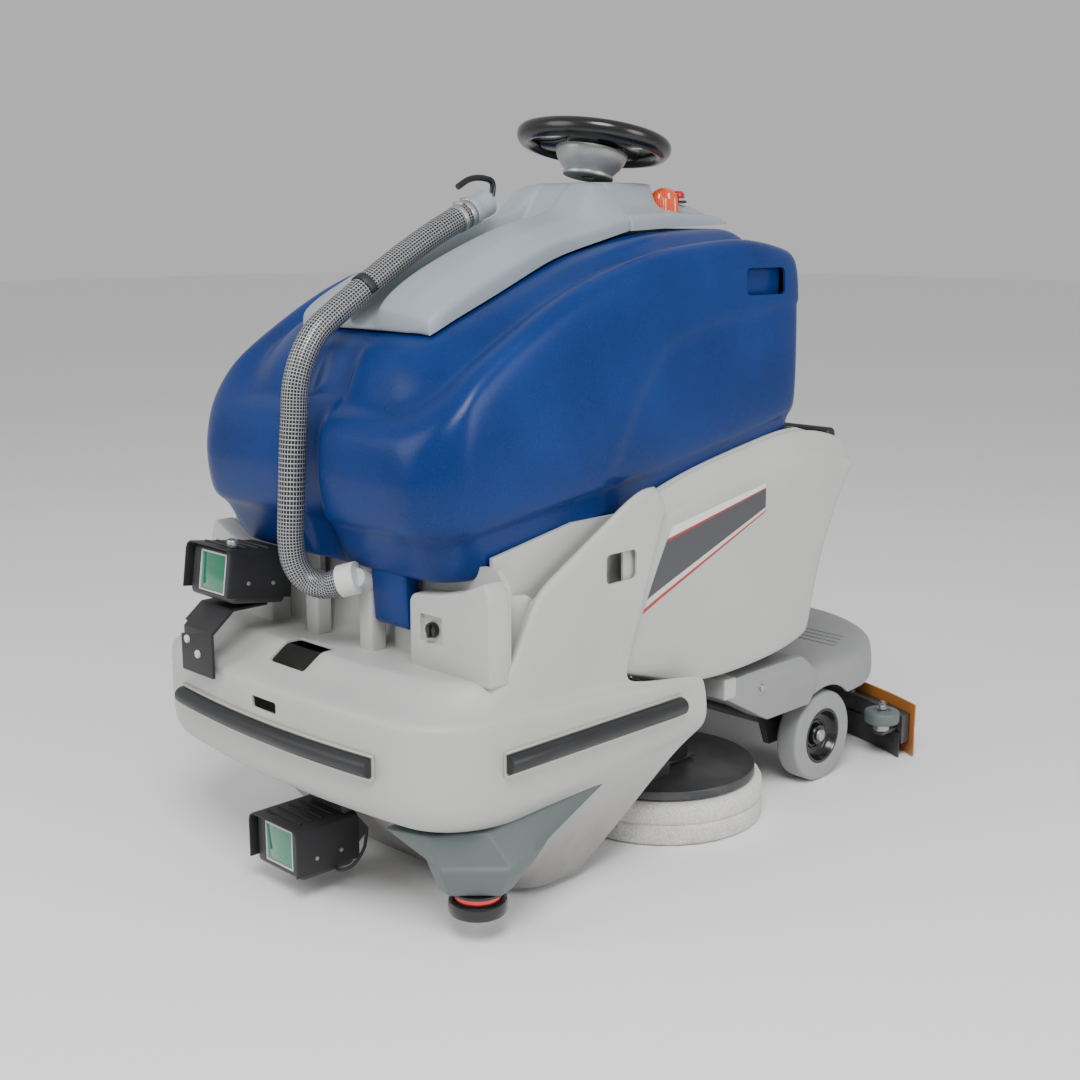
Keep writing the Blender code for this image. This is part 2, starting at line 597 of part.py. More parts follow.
def steering(root, pivot_wheel):
    """The cup-shaped column head, and the steering wheel with two spokes on its hub."""
    axis = Vector((0, math.sin(STEERING_TILT), math.cos(STEERING_TILT)))
    centre = Vector(STEERING_CENTRE)
    cup_top = centre - axis * 0.022
    cup_base = cup_top - axis * CUP_HEIGHT
    cup_base.z = PLATEAU_Z + GAP + CUP_BASE_RADIUS * math.sin(STEERING_TILT)
    cup = turned(((CUP_BASE_RADIUS, 0), (CUP_BASE_RADIUS + 0.002, 0.010), (CUP_TOP_RADIUS - 0.006, 0.032),
                  (CUP_TOP_RADIUS, 0.046), (CUP_TOP_RADIUS, 0.054), (SHAFT_RADIUS + CLEARANCE, 0.054),
                  (SHAFT_RADIUS + CLEARANCE, 0)), cup_base, axis, hollow=True)
    add("steering_column", cup, "steel", root)

    wheel = add("steering_wheel", steering_rim(centre, axis), "black", pivot_wheel)
    hub = rod(centre - axis * 0.018, centre + axis * 0.008, 0.034)
    combine(wheel, "UNION", hub)
    combine(wheel, "UNION", rod(centre - axis * 0.074, centre - axis * 0.010, SHAFT_RADIUS))
    across = Vector((1, 0, 0))
    for way in (across, -across, across.cross(axis)):
        outer = centre + way * (STEERING_RADIUS - STEERING_GRIP) * (1.0 if way.x else 0.86)
        combine(wheel, "UNION", rod(centre - axis * 0.004, outer, 0.016, 0.010, segments=12))
    return wheel


def steering_rim(centre, axis):
    """The wheel's rim, narrower from front to back than from side to side."""
    turn = axis.to_track_quat("Z", "Y").to_matrix()
    steps, sides = 28, 8
    long_radius = STEERING_RADIUS - STEERING_GRIP
    rows = []
    for step in range(steps):
        angle = math.tau * step / steps
        radius = long_radius * (1 - 0.07 * (1 - math.cos(2 * angle)))
        way = turn @ Vector((math.cos(angle), math.sin(angle), 0))
        row = []
        for side in range(sides):
            turned_by = math.tau * side / sides
            row.append(centre + way * (radius + STEERING_GRIP * math.cos(turned_by)) + axis * STEERING_GRIP * math.sin(turned_by))
        rows.append(row)
    rows.append(rows[0])
    mesh = rows_mesh(rows, closed=True)
    bmesh.ops.remove_doubles(mesh, verts=mesh.verts, dist=1e-6)
    return closed_solid(mesh)


def beacon(root):
    """The orange flashing light on the console's left shoulder."""
    x, y, z = BEACON_PLACE
    foot = BEACON_RADIUS - 0.006
    dome = turned(((foot, 0.0), (foot, 0.012), (BEACON_RADIUS, 0.014), (BEACON_RADIUS, 0.030), (0.027, 0.048),
                   (0.019, 0.061),
                   (0.007, 0.067)), (x, y, z))
    add("beacon", dome, "orange", root)


def dash(root, pivots):
    """The dash behind the wheel: a display, an emergency stop and a start button."""
    top = 1.2462
    add("display", box((-0.055, 0.255, top + 0.0095), (0.055, 0.325, top + 0.018)), "black", root)
    for side, name, colour, radius in ((1, "emergency_stop", "red", 0.019), (-1, "start_button", "green",
                                                                             0.014)):
        x = side * DASH_BUTTON_X
        base = top + 0.008
        stem = turned(((BUTTON_STEM_RADIUS, base - 0.030), (BUTTON_STEM_RADIUS,
                                                            base + BUTTON_TRAVEL + CLEARANCE),
                       (radius, base + BUTTON_TRAVEL + CLEARANCE), (radius, base + BUTTON_TRAVEL + 0.012),
                       (radius * 0.7, base + BUTTON_TRAVEL + 0.017)), (x, DASH_BUTTON_Y, 0))
        add(name, stem, colour, pivots[name])


def drain(root, pivot_lid, pivot_lever):
    """The drain hose: outlet elbow under the tank, hose in three lengths, cap with its lever."""
    start = Vector(HOSE_LOW[0])
    way = (start - Vector(HOSE_LOW[1])).normalized()
    outlet = add("drain_outlet", rod(start + way * GAP, start + way * 0.034, HOSE_RADIUS + 0.005),
                 "base_grey", root)
    corner = Vector((0.078, -0.515, start.z - 0.018))
    combine(outlet, "UNION", rod(start + way * 0.030, corner, 0.018, segments=16))
    tank_floor = along(TANK_FLOOR, corner.y - 0.020) - 2 * GAP
    combine(outlet, "UNION", rod(corner + Vector((0, 0, -0.016)), (corner.x, corner.y, tank_floor), 0.020,
                                 segments=16))
    hose("drain_hose_low", HOSE_LOW, HOSE_RADIUS, "black", root)
    low_end, bend = Vector(HOSE_BEND[0]), list(HOSE_BEND)
    first = (Vector(bend[1]) - low_end).normalized()
    last = (Vector(bend[-1]) - Vector(bend[-2])).normalized()
    bend[0] = tuple(low_end + first * GAP * 2)
    bend[-1] = tuple(Vector(bend[-1]) - last * GAP * 2)
    hose("drain_hose_bend", bend, HOSE_RADIUS, "black", root)
    hose("drain_hose_high", HOSE_HIGH, HOSE_RADIUS, "black", pivot_lid)

    end = Vector(HOSE_HIGH[-1])
    way = (end - Vector(HOSE_HIGH[-2])).normalized()
    cap = turned(((HOSE_RADIUS + 0.002, GAP), (HOSE_RADIUS + 0.003, 0.010), (HOSE_RADIUS, 0.044),
                  (HOSE_RADIUS, 0.052)),
                 end, way)
    add("hose_cap", cap, "base_grey", pivot_lid)
    tip = end + way * (0.052 + CLEARANCE)
    lever = hose("hose_cap_lever", (tip + way * 0.006, tip + way * 0.014 + Vector((0, 0, 0.012)),
                                    tip + way * 0.010 + Vector((0, 0, 0.034)), tip + Vector((0, -0.020,
                                                                                             0.044)),
                                    tip + Vector((0, -0.050, 0.040)), tip + Vector((0, -0.078,
                                                                                    0.026))), 0.0055,
                 "black", pivot_lever)
    return lever


def camera(name, place, root, tilt):
    """A charcoal camera housing with a black sheet hood over it and a green window."""
    x, y, z = place
    width, depth, height = CAMERA_SIZE
    lens_width, lens_height = LENS_SIZE
    turn = Matrix.Translation(place) @ Matrix.Rotation(tilt, 4, "X") @ Matrix.Translation(-Vector(place))

    def placed(mesh):
        bmesh.ops.transform(mesh, verts=mesh.verts, matrix=turn)
        return mesh

    sheet = 0.003
    body = box((x - width / 2, y, z - height / 2), (x + width / 2, y + depth, z + height / 2))
    bmesh.ops.bevel(body,
                    geom=[edge for edge in body.edges
                          if abs((edge.verts[0].co - edge.verts[1].co).y) > depth / 2],
                    offset=0.012, segments=2, profile=0.5, affect="EDGES")
    made = add(name, placed(body), "dark_steel", root)
    cut = box((x - lens_width / 2, y - 0.01, z - lens_height / 2), (x + lens_width / 2, y + 0.006,
                                                                    z + lens_height / 2))
    combine(made, "DIFFERENCE", placed(cut))
    lens = box((x - lens_width / 2 + GAP, y + 0.002, z - lens_height / 2 + GAP),
               (x + lens_width / 2 - GAP, y + 0.006 - GAP, z + lens_height / 2 - GAP))
    add(f"{name}_window", placed(lens), "green", root)
    half, top = width / 2 - sheet / 2, z + height / 2 - sheet / 2
    low = z - height / 2 + 0.010
    chamfer = 0.014
    inner = [(half, low), (half, top - chamfer), (half - chamfer, top), (-half + chamfer, top), (-half,
                                                                                                 top - chamfer), (-half, low)]
    outer = [(across + math.copysign(sheet, across), up + (sheet if up > low else 0)) for across,
             up in reversed(inner)]
    hood = slab([(x + across, up) for across, up in inner + outer], y - 0.014, y + depth + 0.012, "XZ")
    return combine(made, "UNION", placed(hood))


def cameras(root):
    """One camera on the ledge's right side, and one under the nose."""
    x, y, z = UPPER_CAMERA
    width, depth, height = CAMERA_SIZE
    made = camera("upper_camera", UPPER_CAMERA, root, math.radians(-8))
    foot = NOSE_Y - 0.004
    plate = [(foot, 0.385), (foot + 0.006, 0.385), (foot + 0.006, 0.470), (y + 0.024, 0.505),
             (y + depth - 0.02, 0.505),
             (y + depth - 0.02, 0.511), (y + 0.020, 0.511), (foot, 0.474)]
    lean = NOSE_BOW * (x / (BODY_HALF_WIDTH - NOSE_CORNER)) ** 2 - 0.014
    combine(made, "UNION", slab([(first + lean, second) for first, second in plate], x - 0.052, x + 0.052,
                                "YZ"))
    made = camera("lower_camera", LOWER_CAMERA, root, 0.0)
    x, y, z = LOWER_CAMERA
    arm = slab(((y + depth - 0.01, z - 0.040), (-0.534, z + 0.004), (-0.600, 0.180), (-0.612, 0.180),
                (y + depth - 0.01, z + 0.040)), x - 0.040, x + 0.060, "YZ")
    combine(made, "UNION", arm)


def scanner(root):
    """The laser scanner under the nose's left corner, below its faceted grey-green cover."""
    x, y = SCANNER_PLACE
    low, high = SCANNER_Z
    radius = SCANNER_RADIUS
    body = turned(((radius - 0.008, low), (radius, low + 0.004), (radius, low + 0.026), (radius - 0.010,
                                                                                         low + 0.029),
                   (radius - 0.010, high - 0.007), (radius - 0.004, high - 0.005), (radius - 0.004,
                                                                                    high)), (x, y, 0))
    add("laser_scanner", body, "rubber", root)
    across, outwards = Vector((1, 1)).normalized(), Vector((1, -1)).normalized()
    corner = Vector((x, y))
    rows = []
    # Half width across the corner, reach outwards, reach inwards, height
    for half, reach, back, z in ((0.058, 0.040, 0.050, high + GAP), (0.072, 0.047, 0.060, 0.136)):
        plan = ((-half, -back), (-half, 0.3 * reach), (-half * 0.72, reach), (half * 0.72, reach), (half,
                                                                                                    0.3 * reach), (half, -back))
        points = [corner + across * along_corner + outwards * out for along_corner, out in plan]
        rows.append([(point.x, point.y, z) for point in points])
    top = COVER_EDGE_Z
    rows.append([(0.262, -0.560, top), (0.286, -0.648, top), (0.352, -0.632, top), (0.404, -0.560, top),
                 (0.409, -0.470, top),
                 (0.402, -0.296, top)])
    cover = add("scanner_cover", closed_solid(rows_mesh(rows, closed=True, caps=(0, -1))), "scanner_grey",
                root)
    combine(cover, "DIFFERENCE", closed_solid(rows_mesh(skirt_rows(CLEARANCE), closed=True, caps=(0, -1))))


def chassis(root):
    """The steel frame: two rails, four cross bars, and the brackets down to the rear axle."""
    low, high = FRAME_Z, FRAME_Z + FRAME_BAR
    half = FRAME_HALF_WIDTH
    front, rear = -0.430, 0.420
    frame = add("chassis_frame", box((-half, front, low), (-half + FRAME_BAR, rear, high)), "dark_steel",
                root)
    combine(frame, "UNION", box((half - FRAME_BAR, front, low), (half, rear, high)))
    for y in (front, DRIVE_Y + 0.06, -0.040, 0.300):
        combine(frame, "UNION", box((-half + 0.01, y, low), (half - 0.01, y + FRAME_BAR, high)))
    plate = box((-0.080, front + 0.01, low + 0.01), (0.080, DRIVE_Y + 0.07, high - 0.01))
    combine(frame, "UNION", plate)
    combine(frame, "DIFFERENCE", rod((0, DRIVE_Y, low - 0.01), (0, DRIVE_Y, high + 0.01),
                                     FORK_COLUMN_RADIUS + CLEARANCE))
    for side in (-1, 1):
        x = side * LEG_X
        leg = slab(((0.300, high - 0.005), (0.300, low + 0.004), (WHEEL_Y - 0.080, WHEEL_RADIUS - 0.020),
                    (WHEEL_Y + 0.030, WHEEL_RADIUS - 0.020), (WHEEL_Y + 0.030, WHEEL_RADIUS + 0.030),
                    (PLATFORM_FRONT_Y - 0.010, 0.190), (PLATFORM_FRONT_Y - 0.025,
                                                        high - 0.005)), x - 0.008, x + 0.008, "YZ")
        combine(frame, "UNION", leg)
        combine(frame, "UNION", box((min(x, side * 0.300), 0.310, low + 0.004), (max(x, side * 0.300), 0.400,
                                                                                 high - 0.004)))
        hole = rod((x - 0.02, WHEEL_Y, WHEEL_RADIUS), (x + 0.02, WHEEL_Y, WHEEL_RADIUS), AXLE_RADIUS + GAP)
        combine(frame, "DIFFERENCE", hole)
    combine(frame, "UNION", box((-half, -0.045, high - 0.001), (half, 0.345, high + TRAY_THICKNESS)))
    axle_end = WHEEL_OUTER_X - 0.014
    axle = rod((-axle_end, WHEEL_Y, WHEEL_RADIUS), (axle_end, WHEEL_Y, WHEEL_RADIUS), AXLE_RADIUS,
               segments=16)
    add("rear_axle", axle, "steel", root)


def inside(root):
    """What the bodies hide: two batteries, the suction motor, the control box and the steering gearmotor."""
    floor = FRAME_Z + FRAME_BAR + TRAY_THICKNESS + GAP
    for name, x in (("left_battery", 0.005), ("right_battery", -0.305)):
        add(name, box((x, -0.035, floor), (x + 0.300, 0.335, floor + 0.250)), "black", root)
    add("control_box", box((-0.140, 0.352, 0.500), (0.140, 0.430, 0.680)), "dark_steel", root)
    motor = turned(((0.060, 0.450), (0.072, 0.460), (0.072, 0.540), (0.050, 0.560), (0.050, 0.600)), (-0.180,
                                                                                                      -0.150,
                                                                                                      0))
    add("suction_motor", motor, "black", root)
    top = FRAME_Z + FRAME_BAR + 2 * GAP
    add("steering_gearmotor", turned(((0.048, top), (0.048, top + 0.03), (0.036, top + 0.032), (0.036,
                                                                                                top + 0.10)),
                                     (0, DRIVE_Y, 0)), "dark_steel", root)


def drive(pivot_fork, pivot_wheel):
    """The steered drive unit: a fork on a column, its traction motor and the driven wheel."""
    y, axle = DRIVE_Y, DRIVE_RADIUS
    leg = DRIVE_WIDTH / 2 + 0.006
    fork = add("drive_fork", box((-leg - 0.012, y - 0.040, FORK_PLATE_Z), (leg + 0.012, y + 0.040,
                                                                           FORK_PLATE_Z + 0.014)),
               "dark_steel", pivot_fork)
    for side in (-1, 1):
        low, high = sorted((side * leg, side * (leg + 0.012)))
        combine(fork, "UNION", box((low, y - 0.028, axle - 0.028), (high, y + 0.028, FORK_PLATE_Z + 0.004)))
        combine(fork, "DIFFERENCE", rod((low - 0.01, y, axle), (high + 0.01, y, axle), AXLE_RADIUS + GAP,
                                        segments=16))
    combine(fork, "UNION", rod((0, y, FORK_PLATE_Z + 0.004), (0, y, FRAME_Z + FRAME_BAR - GAP),
                               FORK_COLUMN_RADIUS))
    motor = rod((-leg - 0.012 - GAP, y, axle), (-leg - 0.082, y, axle), 0.040)
    add("traction_motor", motor, "dark_steel", pivot_fork)
    half = DRIVE_WIDTH / 2
    hub_radius = 0.074
    tyre = turned(((hub_radius, -half), (axle - 0.006, -half), (axle, -half + 0.008), (axle, half - 0.008),
                   (axle - 0.006, half), (hub_radius, half)), (0, y, axle), (1, 0,
                                                                             0), hollow=True, segments=24)
    add("drive_tyre", tyre, "tyre_grey", pivot_wheel)
    hub = turned(((AXLE_RADIUS, -leg - 0.010), (AXLE_RADIUS, -half), (hub_radius - GAP, -half + 0.004),
                  (hub_radius - GAP, half - 0.004), (AXLE_RADIUS, half), (AXLE_RADIUS, leg + 0.010)),
                 (0, y, axle), (1, 0, 0), segments=24)
    add("drive_hub", hub, "dark_steel", pivot_wheel)


def rear_wheels(pivots):
    """The two rear wheels: a grey tyre on a black dished hub that turns on the fixed axle."""
    for side, name in ((1, "left"), (-1, "right")):
        outer = WHEEL_OUTER_X
        inner = outer - WHEEL_WIDTH
        tyre = turned(((RIM_RADIUS, inner), (WHEEL_RADIUS - 0.006, inner), (WHEEL_RADIUS, inner + 0.007),
                       (WHEEL_RADIUS, outer - 0.007), (WHEEL_RADIUS - 0.006, outer), (RIM_RADIUS, outer)),
                      (0, WHEEL_Y, WHEEL_RADIUS), (side, 0, 0), hollow=True, segments=24)
        add(f"{name}_tyre", tyre, "tyre_grey", pivots[f"{name}_wheel"])
        rim = RIM_RADIUS - GAP
        hub = turned(((AXLE_RADIUS + GAP, inner + 0.004), (rim, inner + 0.004), (rim, outer - 0.004),
                      (rim - 0.006, outer - 0.004),
                      (rim - 0.016, outer - 0.022), (0.026, outer - 0.022), (0.022, outer - 0.010),
                      (AXLE_RADIUS + GAP, outer - 0.010)), (0, WHEEL_Y, WHEEL_RADIUS), (side, 0,
                                                                                        0), hollow=True,
                                                                                        segments=24)
        add(f"{name}_hub", hub, "black", pivots[f"{name}_wheel"])


def platform(root, pivot_pedal):
    """The standing platform: a plate with side skirts, wheel arches and two arms that bolt to the frame."""
    half, front, rear = PLATFORM_HALF_WIDTH, PLATFORM_FRONT_Y, PLATFORM_REAR_Y
    levels = ((0.0, PLATFORM_SKIRT_Z), (0.004, 0.235), (0.016, 0.256), (0.032, PLATFORM_Z))
    rows = []
    for inset, z in levels:
        # A bowed rear edge whose corners sweep forward to the wheel arches
        half_plan = [(0.0, front + inset), (half - inset, front + inset), (half - inset, 0.620),
                     (0.345 - inset, 0.700 - inset * 0.4), (0.290 - inset, 0.800 - inset * 0.7),
                     (0.215 - inset * 0.7, 0.875 - inset), (0.110, 0.925 - inset), (0.0, rear - inset)]
        rows.append(ring([(x, y, z) for x, y in half_plan]))
    deck = thicken(add("platform", skin(rows, closed=True, caps=(-1,)), "platform_grey", root), PLATFORM_WALL)
    y, z = SQUEEGEE_PIVOT
    for side in (-1, 1):
        slot = (side * LEG_X - 0.012, side * LEG_X + 0.012)
        combine(deck, "DIFFERENCE", box((slot[0], front - 0.01, 0.17), (slot[1], front + 0.02, 0.222)))
        lug = box((side * 0.140 - 0.006, y - 0.018, z - 0.014), (side * 0.140 + 0.006, y + 0.018,
                                                                 PLATFORM_Z - 0.003))
        combine(deck, "UNION", lug)
        combine(deck, "DIFFERENCE", rod((side * 0.140 - 0.01, y, z), (side * 0.140 + 0.01, y, z),
                                        PIN_RADIUS + CLEARANCE, segments=16))
        arm = slab(((ARM_FRONT_Y, 0.268), (0.270, 0.192), (0.425, 0.192), (0.452, 0.240), (0.452,
                                                                                           PLATFORM_Z - 0.003),
                    (0.390, ARM_TOP_Z), (0.200, ARM_TOP_Z), (ARM_FRONT_Y, ARM_TOP_Z - 0.004)),
                   half - ARM_WIDTH, half + 0.002, "YZ")
        bmesh.ops.scale(arm, verts=arm.verts, vec=(side, 1, 1))
        combine(deck, "UNION", closed_solid(arm))
        arch = rod((side * 0.296, WHEEL_Y, WHEEL_RADIUS), (side * 0.40, WHEEL_Y, WHEEL_RADIUS),
                   WHEEL_RADIUS + 0.016, segments=32)
        combine(deck, "DIFFERENCE", arch)
        combine(deck, "UNION", rod((side * (half - 0.01), 0.250, 0.268), (side * (half + 0.007), 0.250,
                                                                          0.268), 0.011, segments=6))
    x, y, z = PEDAL_PLACE
    combine(deck, "UNION", box((x - 0.045, y - 0.004, PLATFORM_Z - 0.003), (x + 0.045, y + 0.004, z - 0.006)))
    pedal = slab(((y + 0.006, z - 0.004), (y + 0.006, z + 0.006), (y - 0.090, z + 0.022), (y - 0.090,
                                                                                           z + 0.014)),
                 x - 0.055, x + 0.055, "YZ")
    add("drive_pedal", pedal, "rubber", pivot_pedal)


def brush_deck(pivot_deck, pivots):
    """The brush deck: a bridge plate with a steel cover and a gearmotor over each brush."""
    low = DECK_PLATE_Z
    bridge = add("deck_bridge", box((-BRUSH_X - 0.05, BRUSH_Y - 0.055, low), (BRUSH_X + 0.05, BRUSH_Y + 0.055,
                                                                              low + 0.008)),
                 "dark_steel", pivot_deck)
    for side, name in ((1, "left"), (-1, "right")):
        x = side * BRUSH_X
        combine(bridge, "DIFFERENCE", rod((x, BRUSH_Y, low - 0.01), (x, BRUSH_Y, low + 0.02),
                                          SPINDLE_RADIUS + CLEARANCE))
        cover = turned(((SPINDLE_RADIUS + CLEARANCE, COVER_TOP_Z - 0.004), (COVER_RADIUS - 0.004,
                                                                            COVER_TOP_Z - 0.004),
                        (COVER_RADIUS - 0.004, COVER_TOP_Z - 0.018), (COVER_RADIUS, COVER_TOP_Z - 0.018),
                        (COVER_RADIUS, COVER_TOP_Z), (SPINDLE_RADIUS + CLEARANCE, COVER_TOP_Z)),
                       (x, BRUSH_Y, 0), hollow=True, segments=32)
        add(f"{name}_brush_cover", cover, "dark_steel", pivot_deck)
        base = low + 0.008 + GAP
        motor = turned(((MOTOR_RADIUS, base), (MOTOR_RADIUS, base + MOTOR_HEIGHT - 0.01),
                        (MOTOR_RADIUS - 0.012, base + MOTOR_HEIGHT)),
                       (x, BRUSH_Y, 0), segments=24)
        add(f"{name}_brush_motor", motor, "black", pivot_deck)
        foot = box((side * 0.265 - 0.030, BRUSH_Y - 0.130, COVER_TOP_Z + GAP), (side * 0.265 + 0.030,
                                                                                BRUSH_Y - 0.062, low + 0.026))
        link = box((side * 0.200 - 0.030, BRUSH_Y - 0.100, low), (side * 0.260, BRUSH_Y - 0.040, low + 0.008))
        bmesh.ops.recalc_face_normals(link, faces=link.faces)
        combine(bridge, "UNION", link)
        combine(bridge, "UNION", foot)
        brush = turned(((0.060, 0.0), (BRUSH_RADIUS - 0.003, 0.0), (BRUSH_RADIUS, 0.006),
                        (BRUSH_RADIUS - 0.002, 0.044),
                        (BRUSH_RADIUS - 0.008, 0.050), (BRUSH_RADIUS - 0.008, BRUSH_HEIGHT), (SPINDLE_RADIUS,
                                                                                              BRUSH_HEIGHT + GAP),
                        (SPINDLE_RADIUS, base - GAP), (0.004, base - GAP), (0.004, 0.060), (0.060, 0.060)),
                       (x, BRUSH_Y, 0), hollow=True, segments=32)
        add(f"{name}_brush", brush, "white", pivots[f"{name}_brush"])


def squeegee(pivot_arm, pivots):
    """The squeegee: two arms, a bowed steel bar between two amber blades, and a roller at each end."""
    half, steps = SQUEEGEE_HALF_WIDTH, 24

    def bowed(offset, low, high, thickness, reach):
        rows = []
        for step in range(steps + 1):
            x = between(-reach, reach, step / steps)
            y = SQUEEGEE_Y - SQUEEGEE_BOW * (x / half) ** 2 + offset
            rows.append([(x, y, low), (x, y + thickness, low), (x, y + thickness, high), (x, y, high)])
        return closed_solid(rows_mesh(rows, closed=True, caps=(0, -1)))

    low, high = SQUEEGEE_BAR_Z
    bar_depth = 0.034
    bar = add("squeegee_bar", bowed(0, low, high, bar_depth, half - 0.015), "dark_steel", pivot_arm)
    add("squeegee_front_blade", bowed(-BLADE_THICKNESS - GAP, 0.001, FRONT_BLADE_TOP_Z, BLADE_THICKNESS,
                                      half - 0.020), "amber", pivot_arm)
    add("squeegee_rear_blade", bowed(bar_depth + GAP, 0.001, REAR_BLADE_TOP_Z, BLADE_THICKNESS, half),
        "amber", pivot_arm)
    y, z = SQUEEGEE_PIVOT
    combine(bar, "UNION", rod((-0.150, y, z), (0.150, y, z), PIN_RADIUS, segments=12))
    for side in (-1, 1):
        x = side * 0.120
        arm = slab(((y - 0.016, z - 0.014), (y + 0.016, z - 0.014), (0.700, 0.104), (SQUEEGEE_Y + 0.010,
                                                                                     0.090),
                    (SQUEEGEE_Y + 0.010, 0.104), (0.700, 0.128), (y + 0.016, z + 0.014), (y - 0.016,
                                                                                          z + 0.014)),
                   x - 0.008, x + 0.008, "YZ")
        combine(bar, "UNION", arm)
        rx, ry, rz = side * ROLLER_X, ROLLER_Y, ROLLER_Z
        shelf = FRONT_BLADE_TOP_Z + 0.002
        back = SQUEEGEE_Y - SQUEEGEE_BOW * (rx / half) ** 2
        combine(bar, "UNION", box((rx - 0.012, ry - 0.012, shelf), (rx + 0.012, back + 0.010, shelf + 0.008)))
        combine(bar, "UNION", rod((rx, ry, shelf + 0.004), (rx, ry, rz + 0.026), 0.006, segments=12))
        roller = turned(((0.006 + GAP, rz - 0.016), (ROLLER_RADIUS - 0.004, rz - 0.016), (ROLLER_RADIUS,
                                                                                          rz - 0.010),
                         (ROLLER_RADIUS, rz + 0.010), (ROLLER_RADIUS - 0.004, rz + 0.014), (0.006 + GAP,
                                                                                            rz + 0.014)),
                        (rx, ry, 0), hollow=True)
        add(f"{'left' if side > 0 else 'right'}_squeegee_roller", roller, "scanner_grey",
            pivots["left_roller" if side > 0 else "right_roller"])


def build():
    for leftover in list(bpy.data.objects):
        bpy.data.objects.remove(leftover, do_unlink=True)
    root = pivot("scrubber", (0, 0, 0))
    root.location.y = -MIDDLE_Y
    chassis(root)
    front_body(root)
    bumpers(root)
    rear_body(root)
    thigh_pad(root)
    recovery_tank(root)
    console(root)
    beacon(root)
    cameras(root)
    scanner(root)
    inside(root)

    pivot_lid = pivot("lid_pivot", (0, *LID_HINGE), root)
    lid(pivot_lid)
    cap_end = Vector(HOSE_HIGH[-1])
    lever = pivot("lever_pivot", cap_end + (cap_end - Vector(HOSE_HIGH[-2])).normalized() * 0.060, pivot_lid)
    drain(root, pivot_lid, lever)

    steering(root, pivot("steering_pivot", STEERING_CENTRE, root))
    buttons = {name: pivot(f"{name}_pivot", (side * DASH_BUTTON_X, DASH_BUTTON_Y, 1.25), root)
               for side, name in ((1, "emergency_stop"), (-1, "start_button"))}
    dash(root, buttons)

    fork = pivot("fork_pivot", (0, DRIVE_Y, DRIVE_RADIUS), root)
    drive(fork, pivot("drive_wheel_pivot", (0, DRIVE_Y, DRIVE_RADIUS), fork))
    wheels = {f"{name}_wheel": pivot(f"{name}_wheel_pivot", (side * WHEEL_OUTER_X, WHEEL_Y, WHEEL_RADIUS),
                                     root)
              for side, name in ((1, "left"), (-1, "right"))}
    rear_wheels(wheels)
    platform(root, pivot("pedal_pivot", PEDAL_PLACE, root))

    deck = pivot("deck_pivot", (0, BRUSH_Y, DECK_PLATE_Z), root)
    brushes = {f"{name}_brush": pivot(f"{name}_brush_pivot", (side * BRUSH_X, BRUSH_Y, 0), deck)
               for side, name in ((1, "left"), (-1, "right"))}
    brush_deck(deck, brushes)
    arm = pivot("squeegee_pivot", (0, *SQUEEGEE_PIVOT), root)
    rollers = {f"{name}_roller": pivot(f"{name}_roller_pivot", (side * ROLLER_X, ROLLER_Y, ROLLER_Z), arm)
               for side, name in ((1, "left"), (-1, "right"))}
    squeegee(arm, rollers)


build()
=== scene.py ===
"""The looks of a stand-on scrubber dryer, laid out as an add-on. Each operator models one group of pieces.

Sizes are metres. X counts to the machine's left, Z up from the floor."""

import math

import bmesh
import bpy
from bpy.props import FloatProperty, FloatVectorProperty, IntProperty, PointerProperty
from mathutils import Matrix, Vector


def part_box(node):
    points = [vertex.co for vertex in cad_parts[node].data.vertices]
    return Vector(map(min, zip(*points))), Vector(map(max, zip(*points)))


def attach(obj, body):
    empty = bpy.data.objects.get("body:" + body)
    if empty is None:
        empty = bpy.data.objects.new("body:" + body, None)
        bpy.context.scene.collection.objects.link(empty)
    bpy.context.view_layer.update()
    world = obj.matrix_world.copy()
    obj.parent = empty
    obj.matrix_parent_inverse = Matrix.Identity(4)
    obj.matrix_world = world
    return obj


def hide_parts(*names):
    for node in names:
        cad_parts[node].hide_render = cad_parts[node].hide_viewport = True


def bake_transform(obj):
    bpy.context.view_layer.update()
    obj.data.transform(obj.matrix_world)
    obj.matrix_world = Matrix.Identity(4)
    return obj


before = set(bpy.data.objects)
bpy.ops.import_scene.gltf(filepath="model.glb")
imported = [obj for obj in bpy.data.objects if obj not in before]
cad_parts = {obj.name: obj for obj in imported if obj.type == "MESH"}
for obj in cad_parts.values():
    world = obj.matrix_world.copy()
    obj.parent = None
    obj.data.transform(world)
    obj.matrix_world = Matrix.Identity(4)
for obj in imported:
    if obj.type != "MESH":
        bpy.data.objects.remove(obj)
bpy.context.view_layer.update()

bl_info = {
    "name": "Scrubber dryer looks",
    "version": (1, 0, 0),
    "blender": (4, 5, 0),
    "location": "View3D > Sidebar > Scrubber",
    "description": "Models the shells, hose, wheels and trim of a stand-on scrubber dryer round its frame",
    "category": "Object",
}

REAR_AXLE_Y = 0.495
DATUM_Y = (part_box("rear_axle")[0].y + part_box("rear_axle")[1].y) / 2 - REAR_AXLE_Y

# Front body
BELT_HALF = 0.430
NOSE_Y = -0.722
NOSE_BOW = 0.022
NOSE_CORNER = 0.125
LEDGE_Z = 0.455
RIM = ((-0.500, LEDGE_Z), (-0.470, 0.520), (-0.440, 0.583), (-0.160, 0.738), (-0.115, 0.740), (-0.090, 0.700))
BELT_TOP = ((-0.700, 0.402), (-0.548, 0.398), (-0.060, 0.362))
SHELF_INSET = ((-0.640, 0.0), (-0.529, 0.006), (-0.374, 0.012), (-0.200, 0.016))

# Bumpers, cameras and scanner
BUMPER_Z = 0.321
UPPER_CAMERA = (-0.196, -0.690, 0.574)
LOWER_CAMERA = (0.0, -0.700, 0.093)
SCANNER_PLACE = (0.381, -0.556)

